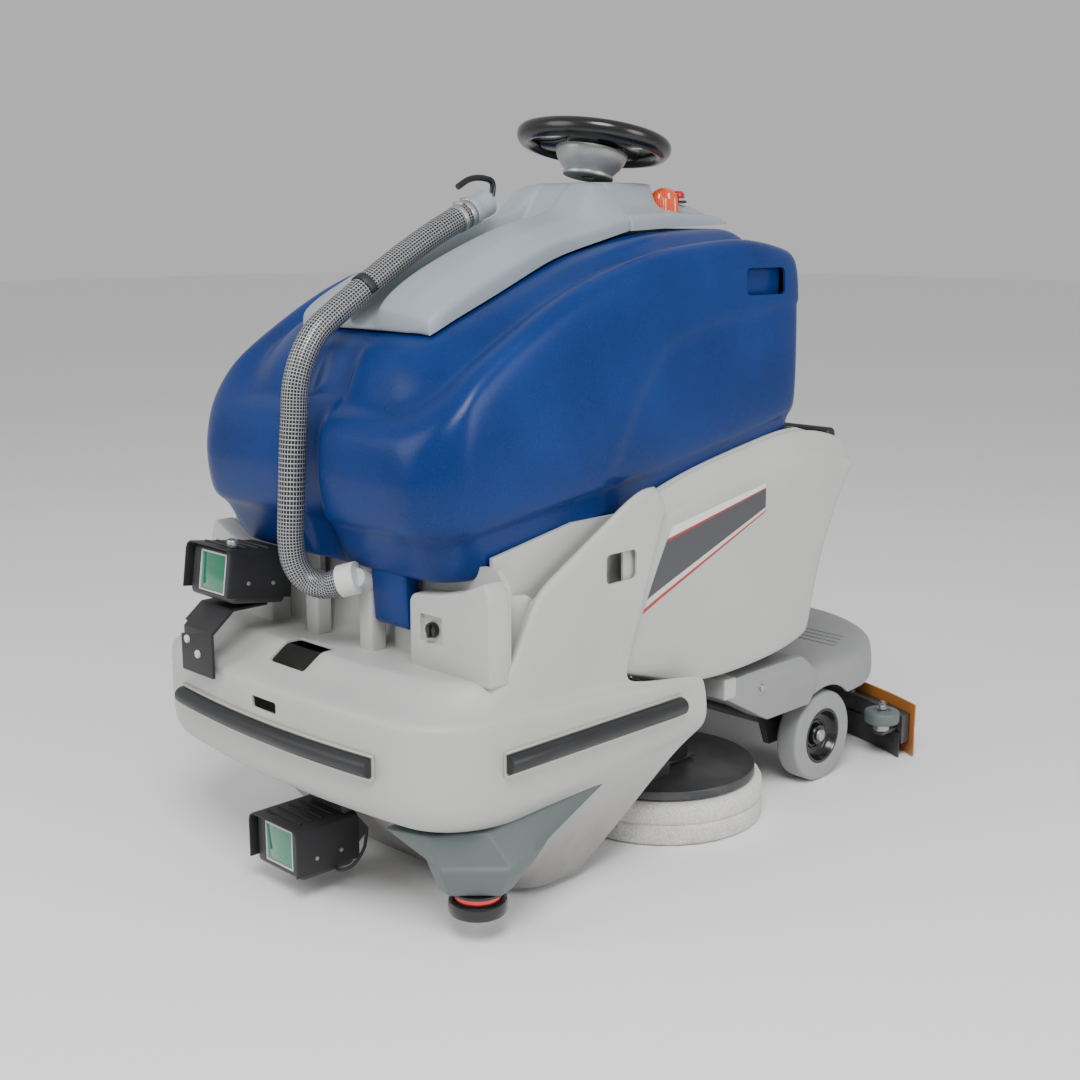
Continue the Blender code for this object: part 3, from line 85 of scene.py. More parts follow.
# Tank, lid and console
TANK_HALF = 0.370
TANK_FRONT_Y = -0.628
TANK_REAR_Y = 0.380
RIDGE = ((-0.600, 0.950), (-0.552, 0.977), (-0.433, 1.036), (-0.172, 1.139), (0.050, 1.190), (0.360, 1.205))
SHOULDER = ((-0.628, 0.850), (-0.494, 0.979), (-0.288, 1.094), (-0.070, 1.161), (0.229, 1.187),
            (0.380, 1.150))
TANK_FLOOR = ((-0.600, 0.598), (-0.520, 0.604), (-0.040, 0.674), (0.380, 0.692))
TANK_BELLY = ((-0.620, 0.700), (-0.300, 0.745), (-0.150, 0.755), (0.330, 0.840), (0.380, 0.845))
PANEL_ARCH = ((-0.215, 0.740), (-0.186, 0.810), (-0.138, 0.896), (-0.085, 0.965), (-0.040, 1.003),
              (0.010, 1.017), (0.088, 1.030), (0.212, 1.048), (0.343, 1.059))
LID_FRONT_Y = -0.476
LID_REAR_Y = 0.054
CONSOLE_REAR_Y = 0.370
PLATEAU_Z = 1.290
PLATEAU_HALF = 0.100
CONSOLE_HALF = 0.168
BUTTON_X, BUTTON_Y = 0.085, 0.290
BEACON_PLACE = (0.112, 0.222, 1.214)

# Steering
STEERING_CENTRE = Vector((0.0, 0.130, 1.372))
STEERING_AXIS = Vector((0.0, math.sin(math.radians(12.5)), math.cos(math.radians(12.5))))
RIM_RADIUS = 0.1490
RIM_FLATNESS = 0.07

# Hose: its centre line down the tank's front, round the lid's front edge and up over the lid
HOSE_ROUTE = ((0.074, -0.598, 0.586), (0.048, -0.614, 0.577), (0.020, -0.632, 0.586), (0.004, -0.646, 0.616),
              (0.0, -0.650, 0.655), (0.0, -0.648, 0.700), (0.0, -0.644, 0.760), (0.0, -0.640, 0.820),
              (0.0, -0.634, 0.880), (0.0, -0.629, 0.930), (0.0, -0.612, 0.978), (0.0, -0.583, 1.020),
              (0.0, -0.540, 1.052), (0.0, -0.492, 1.082), (0.0, -0.440, 1.1145), (0.0, -0.385, 1.147),
              (0.0, -0.330, 1.177), (0.0, -0.270, 1.206), (0.0, -0.215, 1.229))

# Rear body, platform, wheels, brushes and squeegee
REAR_TOP = ((-0.200, 0.660), (-0.131, 0.700), (-0.073, 0.722), (0.040, 0.752), (0.330, 0.800), (0.470, 0.788),
            (0.590, 0.733))
REAR_BOTTOM = ((-0.200, 0.395), (0.030, 0.322), (0.190, 0.328), (0.300, 0.336), (0.430, 0.372))
PLATFORM_Z = 0.262
PLATFORM_HALF = 0.372
PLATFORM_FRONT_Y = 0.430
PLATFORM_REAR_Y = 0.940
WHEEL_CENTRE_Z = 0.101
ARCH_RADIUS = 0.117
BRUSH_PLACE = (0.215, 0.118)
SQUEEGEE_HALF = 0.430
SQUEEGEE_Y = 0.835
SQUEEGEE_BOW = 0.105
ROLLER_PLACE = (0.385, 0.698, 0.105)

CAMERA_LOCATION = (2.1718, -2.2885, 1.2061)


# ---- settings

class ScrubberSizes(bpy.types.PropertyGroup):
    """Sizes that set how fine and how thick the modelled pieces are."""

    smoothing: IntProperty(name="Shell smoothing", description="Subdivision levels of the large shells",
                           default=2, min=1, max=3)
    body_wall: FloatProperty(name="Body wall", description="Wall of the grey bodies",
                             default=0.005, min=0.002, max=0.010, unit="LENGTH")
    lid_wall: FloatProperty(name="Lid wall", description="Wall of the lid and the console",
                            default=0.004, min=0.002, max=0.008, unit="LENGTH")
    hose_radius: FloatProperty(name="Hose radius", description="Outer radius of the braided drain hose",
                               default=0.0245, min=0.015, max=0.030, unit="LENGTH")
    edge_round: FloatProperty(name="Edge rounding",
                              description="Round on the edges of metal and plastic fittings",
                              default=0.0015, min=0.0005, max=0.004, unit="LENGTH")


class ScrubberColours(bpy.types.PropertyGroup):
    """Base colours, linear, that a user would change."""

    body: FloatVectorProperty(name="Body", description="Light warm grey of the bodies", subtype="COLOR",
                              default=(0.470, 0.468, 0.458), min=0, max=1)
    tank: FloatVectorProperty(name="Tank", description="Deep blue of the recovery tank", subtype="COLOR",
                              default=(0.004, 0.026, 0.140), min=0, max=1)
    lid: FloatVectorProperty(name="Lid", description="Cool grey of the lid and console", subtype="COLOR",
                             default=(0.290, 0.335, 0.365), min=0, max=1)
    platform: FloatVectorProperty(name="Platform", description="Mid grey of the platform", subtype="COLOR",
                                  default=(0.285, 0.287, 0.295), min=0, max=1)
    blade: FloatVectorProperty(name="Blade", description="Amber of the squeegee blades", subtype="COLOR",
                               default=(0.430, 0.150, 0.028), min=0, max=1)
    beacon: FloatVectorProperty(name="Beacon", description="Orange of the flashing light", subtype="COLOR",
                                default=(0.850, 0.085, 0.010), min=0, max=1)


class StageSettings(bpy.types.PropertyGroup):
    """The floor, the light and the camera."""

    floor: FloatVectorProperty(name="Floor", description="Colour of the floor", subtype="COLOR",
                               default=(0.92, 0.92, 0.92), min=0, max=1)
    azimuth: FloatProperty(name="Azimuth", description="Camera's direction round the machine",
                           default=math.radians(45.06), subtype="ANGLE")
    pitch: FloatProperty(name="Pitch", description="How far the camera looks down",
                         default=math.radians(11.79), subtype="ANGLE")
    lens: FloatProperty(name="Lens", description="Focal length in millimetres", default=50.33, min=10,
                        max=200)


def sizes():
    return bpy.context.scene.scrubber_sizes


def colours():
    return bpy.context.scene.scrubber_colours


# ---- modelling helpers

def along(points, position):
    """The value at a position on a line through (position, value) points."""
    if position <= points[0][0]:
        return points[0][1]
    for (start, low), (end, high) in zip(points, points[1:]):
        if position <= end:
            return low + (high - low) * (position - start) / (end - start)
    return points[-1][1]


def between(start, end, share):
    return start + (end - start) * share


def ease(start, end, position):
    """0 before start, 1 after end, and a smooth rise between."""
    share = min(1.0, max(0.0, (position - start) / (end - start)))
    return share * share * (3 - 2 * share)


def span(side, inner, outer):
    """Two distances from the centre line as (low, high) x on one side of the machine."""
    return sorted((side * inner, side * outer))


def deselect():
    bpy.ops.object.select_all(action="DESELECT")


def pick(obj):
    deselect()
    obj.select_set(True)
    bpy.context.view_layer.objects.active = obj
    return obj


def apply(obj, kind, **settings):
    """Adds one modifier with these settings and applies it."""
    pick(obj)
    modifier = obj.modifiers.new(kind.lower(), kind)
    for name, value in settings.items():
        setattr(modifier, name, value)
    bpy.ops.object.modifier_apply(modifier=modifier.name)
    return obj


def smooth(obj, levels=None):
    levels = levels or sizes().smoothing
    return apply(obj, "SUBSURF", levels=levels, render_levels=levels)


def walled(obj, thickness):
    return apply(obj, "SOLIDIFY", thickness=thickness, offset=-1)


def rounded(obj, width=None, segments=2, angle=30):
    width = width or sizes().edge_round
    return apply(obj, "BEVEL", width=width, segments=segments, limit_method="ANGLE",
                 angle_limit=math.radians(angle), miter_outer="MITER_ARC")


def cut(obj, *tools):
    """Cuts the tools away from obj."""
    for tool in tools:
        apply(obj, "BOOLEAN", object=tool, operation="DIFFERENCE")
        bpy.data.objects.remove(tool, do_unlink=True)
    return obj


def joined(name, *parts):
    """Several meshes as one object."""
    pick(parts[0])
    for part in parts[1:]:
        part.select_set(True)
    bpy.ops.object.join()
    obj = bpy.context.object
    obj.name = obj.data.name = name
    return obj


def drawn_out(name, rows, closed=False, caps=()):
    """A grid whose rows are pulled out to rows of points. closed joins the ends of each row, and caps names
    the rows that get a face."""
    deselect()
    across = len(rows[0]) + closed
    bpy.ops.mesh.primitive_grid_add(x_subdivisions=across - 1, y_subdivisions=len(rows) - 1, size=1)
    obj = bpy.context.object
    obj.name = obj.data.name = name
    points = [row[index % len(row)] for row in rows for index in range(across)]
    for vert, point in zip(obj.data.vertices, points):
        vert.co = point
    mesh = bmesh.new()
    mesh.from_mesh(obj.data)
    mesh.verts.ensure_lookup_table()
    for cap in caps:
        start = (cap % len(rows)) * across
        mesh.faces.new([mesh.verts[start + index] for index in range(len(rows[0]))])
    bmesh.ops.remove_doubles(mesh, verts=mesh.verts, dist=1e-6)
    bmesh.ops.recalc_face_normals(mesh, faces=mesh.faces)
    middle = sum((vert.co for vert in mesh.verts), Vector()) / len(mesh.verts)
    outward = sum(face.normal.dot(face.calc_center_median() - middle) * face.calc_area()
                  for face in mesh.faces)
    if outward < 0:
        bmesh.ops.reverse_faces(mesh, faces=mesh.faces)
    mesh.to_mesh(obj.data)
    mesh.free()
    return obj


def block(name, low, high, round_by=0.0, segments=2):
    """A cube primitive at its size and place, with its edges rounded in edit mode."""
    deselect()
    low, high = Vector(low), Vector(high)
    bpy.ops.mesh.primitive_cube_add(size=1, location=(low + high) / 2, scale=high - low)
    obj = bpy.context.object
    obj.name = obj.data.name = name
    bpy.ops.object.transform_apply(location=True, rotation=True, scale=True)
    if round_by:
        bpy.ops.object.mode_set(mode="EDIT")
        bpy.ops.mesh.select_all(action="SELECT")
        bpy.ops.mesh.bevel(offset=round_by, segments=segments, affect="EDGES")
        bpy.ops.object.mode_set(mode="OBJECT")
    return obj


def rod(name, start, end, radius, segments=32, round_by=0.0):
    """A cylinder between two points, with its rims rounded."""
    deselect()
    start, end = Vector(start), Vector(end)
    turn = (end - start).to_track_quat("Z", "Y").to_euler()
    bpy.ops.mesh.primitive_cone_add(vertices=segments, radius1=radius, radius2=radius,
                                    depth=(end - start).length, location=(start + end) / 2, rotation=turn)
    obj = bpy.context.object
    obj.name = obj.data.name = name
    bpy.ops.object.transform_apply(location=True, rotation=True, scale=True)
    if round_by:
        rounded(obj, round_by, 2, 50)
    return obj


def turned(name, profile, centre, direction=(0, 0, 1), segments=48, hollow=False):
    """A body turned about an axis. profile is (radius, height) pairs, and hollow joins its last point to its
    first."""
    turn = Vector(direction).to_track_quat("Z", "Y").to_matrix()
    rows = []
    for radius, height in (*profile, *(profile[:1] if hollow else ())):
        ring = (math.tau * step / segments for step in range(segments))
        rows.append([Vector(centre) + turn @ Vector((radius * math.cos(a), radius * math.sin(a), height))
                     for a in ring])
    return drawn_out(name, rows, closed=True, caps=() if hollow else (0, -1))


def plate(name, outline, low, high, plane="XY"):
    """A flat plate with this outline, from low to high across its plane."""
    order = {"XY": (0, 1, 2), "YZ": (2, 0, 1), "XZ": (0, 2, 1)}[plane]
    rows = []
    for level in (low, high):
        rows.append([[(first, second, level)[index] for index in order] for first, second in outline])
    return drawn_out(name, rows, closed=True, caps=(0, -1))


def smooth_route(points, steps):
    """Points on a smooth curve through the given ones."""
    points = [Vector(point) for point in points]
    ends = [points[0] * 2 - points[1], *points, points[-1] * 2 - points[-2]]
    route = []
    for before, start, end, after in zip(ends, ends[1:], ends[2:], ends[3:]):
        for step in range(steps):
            t = step / steps
            square = (2 * before - 5 * start + 4 * end - after) * t**2
            cube = (3 * start - before - 3 * end + after) * t**3
            route.append(0.5 * (2 * start + (end - before) * t + square + cube))
    return [*route, points[-1]]


def tube(name, points, radius, sides, steps):
    """A tube along a smooth route, with a UV map that counts metres along it."""
    route = smooth_route(points, steps)
    up = Vector((1, 0, 0)) if abs((route[1] - route[0]).normalized().x) < 0.9 else Vector((0, 0, 1))
    rows = []
    for index, point in enumerate(route):
        way = (route[min(index + 1, len(route) - 1)] - route[max(index - 1, 0)]).normalized()
        side = (up - way * up.dot(way)).normalized()
        over = way.cross(side)
        ring = (math.tau * step / sides for step in range(sides))
        rows.append([point + side * math.cos(a) * radius + over * math.sin(a) * radius for a in ring])
    obj = drawn_out(name, rows, closed=True, caps=(0, -1))
    layer = obj.data.uv_layers.active.data
    lengths = [0.0]
    for start, end in zip(route, route[1:]):
        lengths.append(lengths[-1] + (end - start).length)
    for entry in layer:
        entry.uv.y *= lengths[-1]
    return obj


def bolt(name, place, direction, radius, height):
    """A hexagon head with a washer under it."""
    place, direction = Vector(place), Vector(direction).normalized()
    washer = rod(f"{name}_washer", place, place + direction * height * 0.3, radius * 1.35, round_by=0.0003)
    head = rod(name, place + direction * height * 0.3, place + direction * height * 1.3, radius, segments=6,
               round_by=radius * 0.12)
    return joined(name, head, washer)


def merged_copy(node):
    """A copy of a CAD node's mesh with its triangles joined into flat faces."""
    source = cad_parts[node]
    obj = bpy.data.objects.new(f"{node}_finished", source.data.copy())
    bpy.context.scene.collection.objects.link(obj)
    pick(obj)
    obj.data.materials.clear()
    bpy.ops.object.mode_set(mode="EDIT")
    bpy.ops.mesh.select_all(action="SELECT")
    bpy.ops.mesh.remove_doubles(threshold=1e-5)
    bpy.ops.mesh.dissolve_limited(angle_limit=math.radians(1.5))
    bpy.ops.object.mode_set(mode="OBJECT")
    obj.data.transform(Matrix.Translation((0, -DATUM_Y, 0)))
    return obj


def finish(obj, finish_name, body, stands_for=(), angle=35):
    """Shades a piece, gives it its material, moves it into the frame and lets it ride on its body."""
    pick(obj)
    obj.data.transform(Matrix.Translation((0, DATUM_Y, 0)))
    obj.data.materials.clear()
    obj.data.materials.append(finishes()[finish_name])
    bpy.ops.object.shade_smooth_by_angle(angle=math.radians(angle))
    if body:
        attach(obj, body)
    if stands_for:
        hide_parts(*stands_for)
    return obj


def mirrored_row(half):
    """A row from one side to the other, from its right half, which starts on the centre line."""
    return [(-x, y, z) for x, y, z in reversed(half[1:])] + list(half)


def closed_row(half):
    """A closed row from its right half, whose two ends are on the centre line."""
    return [(-x, y, z) for x, y, z in reversed(half[1:-1])] + list(half)


def wrap(half_width, end_y, bow, corner, far_y, height, inset=None):
    """A row round one end of a body: a bowed end, an arc at each corner, then straight sides to far_y."""
    way = 1 if far_y > end_y else -1
    flat = half_width - corner
    plan = [(flat * share, end_y + way * bow * share**2) for share in (0, 0.3, 0.6, 0.85, 1)]
    for step in range(1, 7):
        angle = math.radians(15 * step)
        plan.append((flat + corner * math.sin(angle), end_y + way * (bow + corner * (1 - math.cos(angle)))))
    side = plan[-1][1]
    plan += [(half_width, between(side, far_y, share)) for share in (0.1, 0.25, 0.45, 0.65, 0.82, 0.94, 1)]
    row = []
    for x, y in plan:
        narrower = inset(y) if inset else 0.0
        row.append((x * (1 - narrower / half_width), y, height(x, y)))
    return mirrored_row(row)


# ---- node groups

def new_group(name, inputs, outputs):
    """An empty shader group with float inputs (name, default) and named float outputs."""
    group = bpy.data.node_groups.new(name, "ShaderNodeTree")
    for title, value in inputs:
        socket = group.interface.new_socket(title, in_out="INPUT", socket_type="NodeSocketFloat")
        socket.default_value = value
    for title in outputs:
        group.interface.new_socket(title, in_out="OUTPUT", socket_type="NodeSocketFloat")
    return group, group.nodes.new("NodeGroupInput"), group.nodes.new("NodeGroupOutput")


def feed(tree, socket, value):
    """Links an output to a socket, or sets the socket to a plain value."""
    if hasattr(value, "node"):
        tree.links.new(value, socket)
    else:
        socket.default_value = value


def noise(tree, vector, scale, detail, roughness=0.5):
    node = tree.nodes.new("ShaderNodeTexNoise")
    for title, value in (("Vector", vector), ("Scale", scale), ("Detail", detail), ("Roughness", roughness)):
        feed(tree, node.inputs[title], value)
    return node.outputs["Fac"]


def ranged(tree, value, low, high, to_low=0.0, to_high=1.0):
    """A value moved from one range to another, and clamped."""
    node = tree.nodes.new("ShaderNodeMapRange")
    limits = (("From Min", low), ("From Max", high), ("To Min", to_low), ("To Max", to_high))
    for title, setting in (("Value", value), *limits):
        feed(tree, node.inputs[title], setting)
    return node.outputs["Result"]


def reckoned(tree, operation, first, second):
    """The result of one sum on two values."""
    node = tree.nodes.new("ShaderNodeMath")
    node.operation = operation
    for socket, value in zip(node.inputs, (first, second)):
        feed(tree, socket, value)
    return node.outputs["Value"]


def product(tree, first, second):
    return reckoned(tree, "MULTIPLY", first, second)


def place_on(tree, kind="Object"):
    """Where a point is on its piece: in the piece's own axes, or on its UV map."""
    return tree.nodes.new("ShaderNodeTexCoord").outputs[kind]


def stretched(tree, scale, rotation=(0.0, 0.0, 0.0)):
    """The place on a piece, turned and stretched along its axes."""
    node = tree.nodes.new("ShaderNodeMapping")
    for title, value in (("Vector", place_on(tree)), ("Rotation", rotation), ("Scale", scale)):
        feed(tree, node.inputs[title], value)
    return node.outputs["Vector"]


def axes(tree, vector):
    """A vector split into its axes."""
    split = tree.nodes.new("ShaderNodeSeparateXYZ")
    tree.links.new(vector, split.inputs["Vector"])
    return split.outputs


def grain_group():
    """The fine texture of a moulded surface, and its slow change of shade."""
    found = bpy.data.node_groups.get("moulded_grain")
    if found:
        return found
    group, given, out = new_group("moulded_grain", (("Scale", 900.0),), ("Height", "Shade"))
    place = place_on(group)
    group.links.new(noise(group, place, given.outputs["Scale"], 3.0), out.inputs["Height"])
    group.links.new(ranged(group, noise(group, place, 5.0, 4.0), 0.35, 0.68), out.inputs["Shade"])
    return group


def dust_and_painted_shade_group():
    """Dust and splashes, and painted shade on the grey bodies: dense near the floor and in drifts, none above
    a height.
    """
    found = bpy.data.node_groups.get("dust_and_painted_shade_mask")
    if found:
        return found
    inputs = (("Low", 0.02), ("High", 0.50), ("Amount", 0.5), ("Evenness", 0.0))
    group, given, out = new_group("dust_and_painted_shade_mask", inputs, ("Mask",))
    place = place_on(group)
    by_height = ranged(group, axes(group, place)["Z"], given.outputs["High"], given.outputs["Low"])
    drifts = ranged(group, noise(group, place, 14.0, 5.0, 0.62), 0.38, 0.72, given.outputs["Evenness"])
    mask = product(group, product(group, by_height, drifts), given.outputs["Amount"])
    group.links.new(mask, out.inputs["Mask"])
    return group


def scuff_group():
    """Thin scratches in stretched noise."""
    found = bpy.data.node_groups.get("scuffs")
    if found:
        return found
    group, given, out = new_group("scuffs", (("Scale", 26.0), ("Amount", 0.3)), ("Mask",))
    along_scratches = stretched(group, (1.0, 0.12, 2.5), (0.3, 0.5, 0.2))
    lines = ranged(group, noise(group, along_scratches, given.outputs["Scale"], 6.0, 0.7), 0.62, 0.70)
    group.links.new(product(group, lines, given.outputs["Amount"]), out.inputs["Mask"])
    return group


# ---- finishes

def material(name):
    made = bpy.data.materials.new(name)
    made.use_nodes = True
    return made, made.node_tree, made.node_tree.nodes["Principled BSDF"]


def placed_group(tree, group, **values):
    node = tree.nodes.new("ShaderNodeGroup")
    node.node_tree = group
    for title, value in values.items():
        node.inputs[title].default_value = value
    return node.outputs


def shaded(tree, mask, first, second):
    """A colour that goes from first to second by a mask. Inputs 0, 6 and 7 of a colour mix are its factor and
    two colours, and its output 2 is the mixed colour."""
    mix = tree.nodes.new("ShaderNodeMix")
    mix.data_type = "RGBA"
    tree.links.new(mask, mix.inputs[0])
    for socket, value in ((mix.inputs[6], first), (mix.inputs[7], second)):
        feed(tree, socket, value if hasattr(value, "node") else (*value, 1.0))
    return mix.outputs[2]


def bumped(tree, shader, height, strength, distance):
    bump = tree.nodes.new("ShaderNodeBump")
    bump.inputs["Strength"].default_value = strength
    bump.inputs["Distance"].default_value = distance
    tree.links.new(height, bump.inputs["Height"])
    tree.links.new(bump.outputs["Normal"], shader.inputs["Normal"])


DUST = (0.300, 0.275, 0.235)


def moulded(name, colour, roughness, grain, depth, vary, dust=0.0, dust_top=0.45, scuff=0.0, metallic=0.0,
            coat=0.0, even=0.0, dust_and_painted_shade_colour=DUST):
    """Plastic, rubber or paint: grain, a slow change of shade, scuffs, and dust low down, also painted shade
    on the bodies.
    """
    made, tree, shader = material(name)
    grains = placed_group(tree, grain_group(), Scale=grain)
    darker = [channel * (1 - vary) for channel in colour]
    lighter = [min(1.0, channel * (1 + vary)) for channel in colour]
    shade = shaded(tree, grains["Shade"], darker, lighter)
    if scuff:
        marks = placed_group(tree, scuff_group(), Amount=scuff)
        pale = [min(1.0, channel * 1.35 + 0.03) for channel in colour]
        shade = shaded(tree, marks["Mask"], shade, pale)
    # Colour towards the floor: dust, and with the grey bodies' dark brown-grey also painted shade
    if dust:
        near_floor = placed_group(tree, dust_and_painted_shade_group(), High=dust_top, Amount=dust, Evenness=even)
        shade = shaded(tree, near_floor["Mask"], shade, dust_and_painted_shade_colour)
    tree.links.new(shade, shader.inputs["Base Color"])
    rough = ranged(tree, grains["Shade"], 0.0, 1.0, max(0.02, roughness - 0.05), min(1.0, roughness + 0.06))
    tree.links.new(rough, shader.inputs["Roughness"])
    shader.inputs["Metallic"].default_value = metallic
    shader.inputs["Coat Weight"].default_value = coat
    shader.inputs["Coat Roughness"].default_value = 0.12
    bumped(tree, shader, grains["Height"], 0.35, depth)
    return made


def tank_blue():
    """Rotomoulded polyethylene: deep blue, an orange-peel sheen and pale speckle."""
    made, tree, shader = material("tank_blue")
    base = tuple(colours().tank)
    grains = placed_group(tree, grain_group(), Scale=230.0)
    speck = ranged(tree, noise(tree, place_on(tree), 420.0, 1.0), 0.60, 0.70)
    shade = shaded(tree, grains["Shade"], [channel * 0.86 for channel in base],
                   [channel * 1.16 for channel in base])
    shade = shaded(tree, product(tree, speck, 0.22), shade, (0.030, 0.090, 0.330))
    tree.links.new(shade, shader.inputs["Base Color"])
    tree.links.new(ranged(tree, grains["Shade"], 0.0, 1.0, 0.26, 0.36), shader.inputs["Roughness"])
    shader.inputs["Specular IOR Level"].default_value = 0.22
    bumped(tree, shader, grains["Height"], 0.30, 0.0007)
    return made


def brushed(name, colour, roughness, metallic):
    """Metal with fine level lines."""
    made, tree, shader = material(name)
    lines = noise(tree, stretched(tree, (4.0, 4.0, 240.0)), 6.0, 4.0, 0.65)
    marks = placed_group(tree, scuff_group(), Amount=0.35)
    shade = shaded(tree, lines, [channel * 0.82 for channel in colour], colour)
    shade = shaded(tree, marks["Mask"], shade, [min(1.0, channel * 1.2) for channel in colour])
    tree.links.new(shade, shader.inputs["Base Color"])
    tree.links.new(ranged(tree, lines, 0.3, 0.7, roughness - 0.06, roughness + 0.10),
                   shader.inputs["Roughness"])
    shader.inputs["Metallic"].default_value = metallic
    bumped(tree, shader, lines, 0.12, 0.00015)
    return made


def braided(name):
    """Bright wire in a square mesh over black hose, read from the hose's UV map."""
    made, tree, shader = material(name)
    place = axes(tree, place_on(tree, "UV"))
    masks = []
    # Wires round the hose's whole section, and per metre along it
    for axis, wires in (("X", 26.0), ("Y", 165.0)):
        wave = reckoned(tree, "PINGPONG", product(tree, place[axis], wires), 0.5)
        masks.append(ranged(tree, wave, 0.05, 0.15, 1.0, 0.0))
    wire = reckoned(tree, "MAXIMUM", *masks)
    tree.links.new(shaded(tree, wire, (0.008, 0.009, 0.010), (0.480, 0.490, 0.505)),
                   shader.inputs["Base Color"])
    tree.links.new(ranged(tree, wire, 0.0, 1.0, 0.34, 0.38), shader.inputs["Roughness"])
    tree.links.new(product(tree, wire, 0.6), shader.inputs["Metallic"])
    bumped(tree, shader, wire, 0.6, 0.0012)
    return made


def fibre_pad(name, colour):
    """Non-woven fibre: coarse open tangle that darkens towards the floor."""
    made, tree, shader = material(name)
    tangle = noise(tree, place_on(tree), 330.0, 6.0, 0.75)
    near_floor = placed_group(tree, dust_and_painted_shade_group(), Low=-0.02, High=0.060, Amount=0.75)
    shade = shaded(tree, ranged(tree, tangle, 0.35, 0.60), [channel * 0.55 for channel in colour], colour)
    shade = shaded(tree, near_floor["Mask"], shade, (0.215, 0.190, 0.150))
    tree.links.new(shade, shader.inputs["Base Color"])
    shader.inputs["Roughness"].default_value = 0.95
    shader.inputs["Specular IOR Level"].default_value = 0.15
    bumped(tree, shader, tangle, 0.9, 0.0025)
    return made


def glowing(name, colour, glow, strength, roughness):
    """Coloured glass or lens that gives a little light in patches, a painted glow on the camera window and
    scanner slot.
    """
    made, tree, shader = material(name)
    grains = placed_group(tree, grain_group(), Scale=60.0)
    tree.links.new(shaded(tree, grains["Shade"], [channel * 0.75 for channel in colour], colour),
                   shader.inputs["Base Color"])
    tree.links.new(shaded(tree, grains["Shade"], [channel * 0.7 for channel in glow], glow),
                   shader.inputs["Emission Color"])
    shader.inputs["Emission Strength"].default_value = strength
    tree.links.new(ranged(tree, grains["Shade"], 0.0, 1.0, roughness, roughness + 0.05),
                   shader.inputs["Roughness"])
    shader.inputs["Coat Weight"].default_value = 1.0
    return made


def printed(name, bands, base):
    """A printed panel: bands (low, high, colour) up its own UV map."""
    made, tree, shader = material(name)
    up = axes(tree, place_on(tree, "UV"))["Y"]
    soft = 0.004
    shade = base
    for low, high, colour in bands:
        inside = product(tree, ranged(tree, up, low - soft, low + soft),
                         ranged(tree, up, high - soft, high + soft, 1.0, 0.0))
        shade = shaded(tree, inside, shade, colour)
    tree.links.new(shade, shader.inputs["Base Color"])
    grains = placed_group(tree, grain_group(), Scale=700.0)
    tree.links.new(ranged(tree, grains["Shade"], 0.0, 1.0, 0.30, 0.40), shader.inputs["Roughness"])
    return made


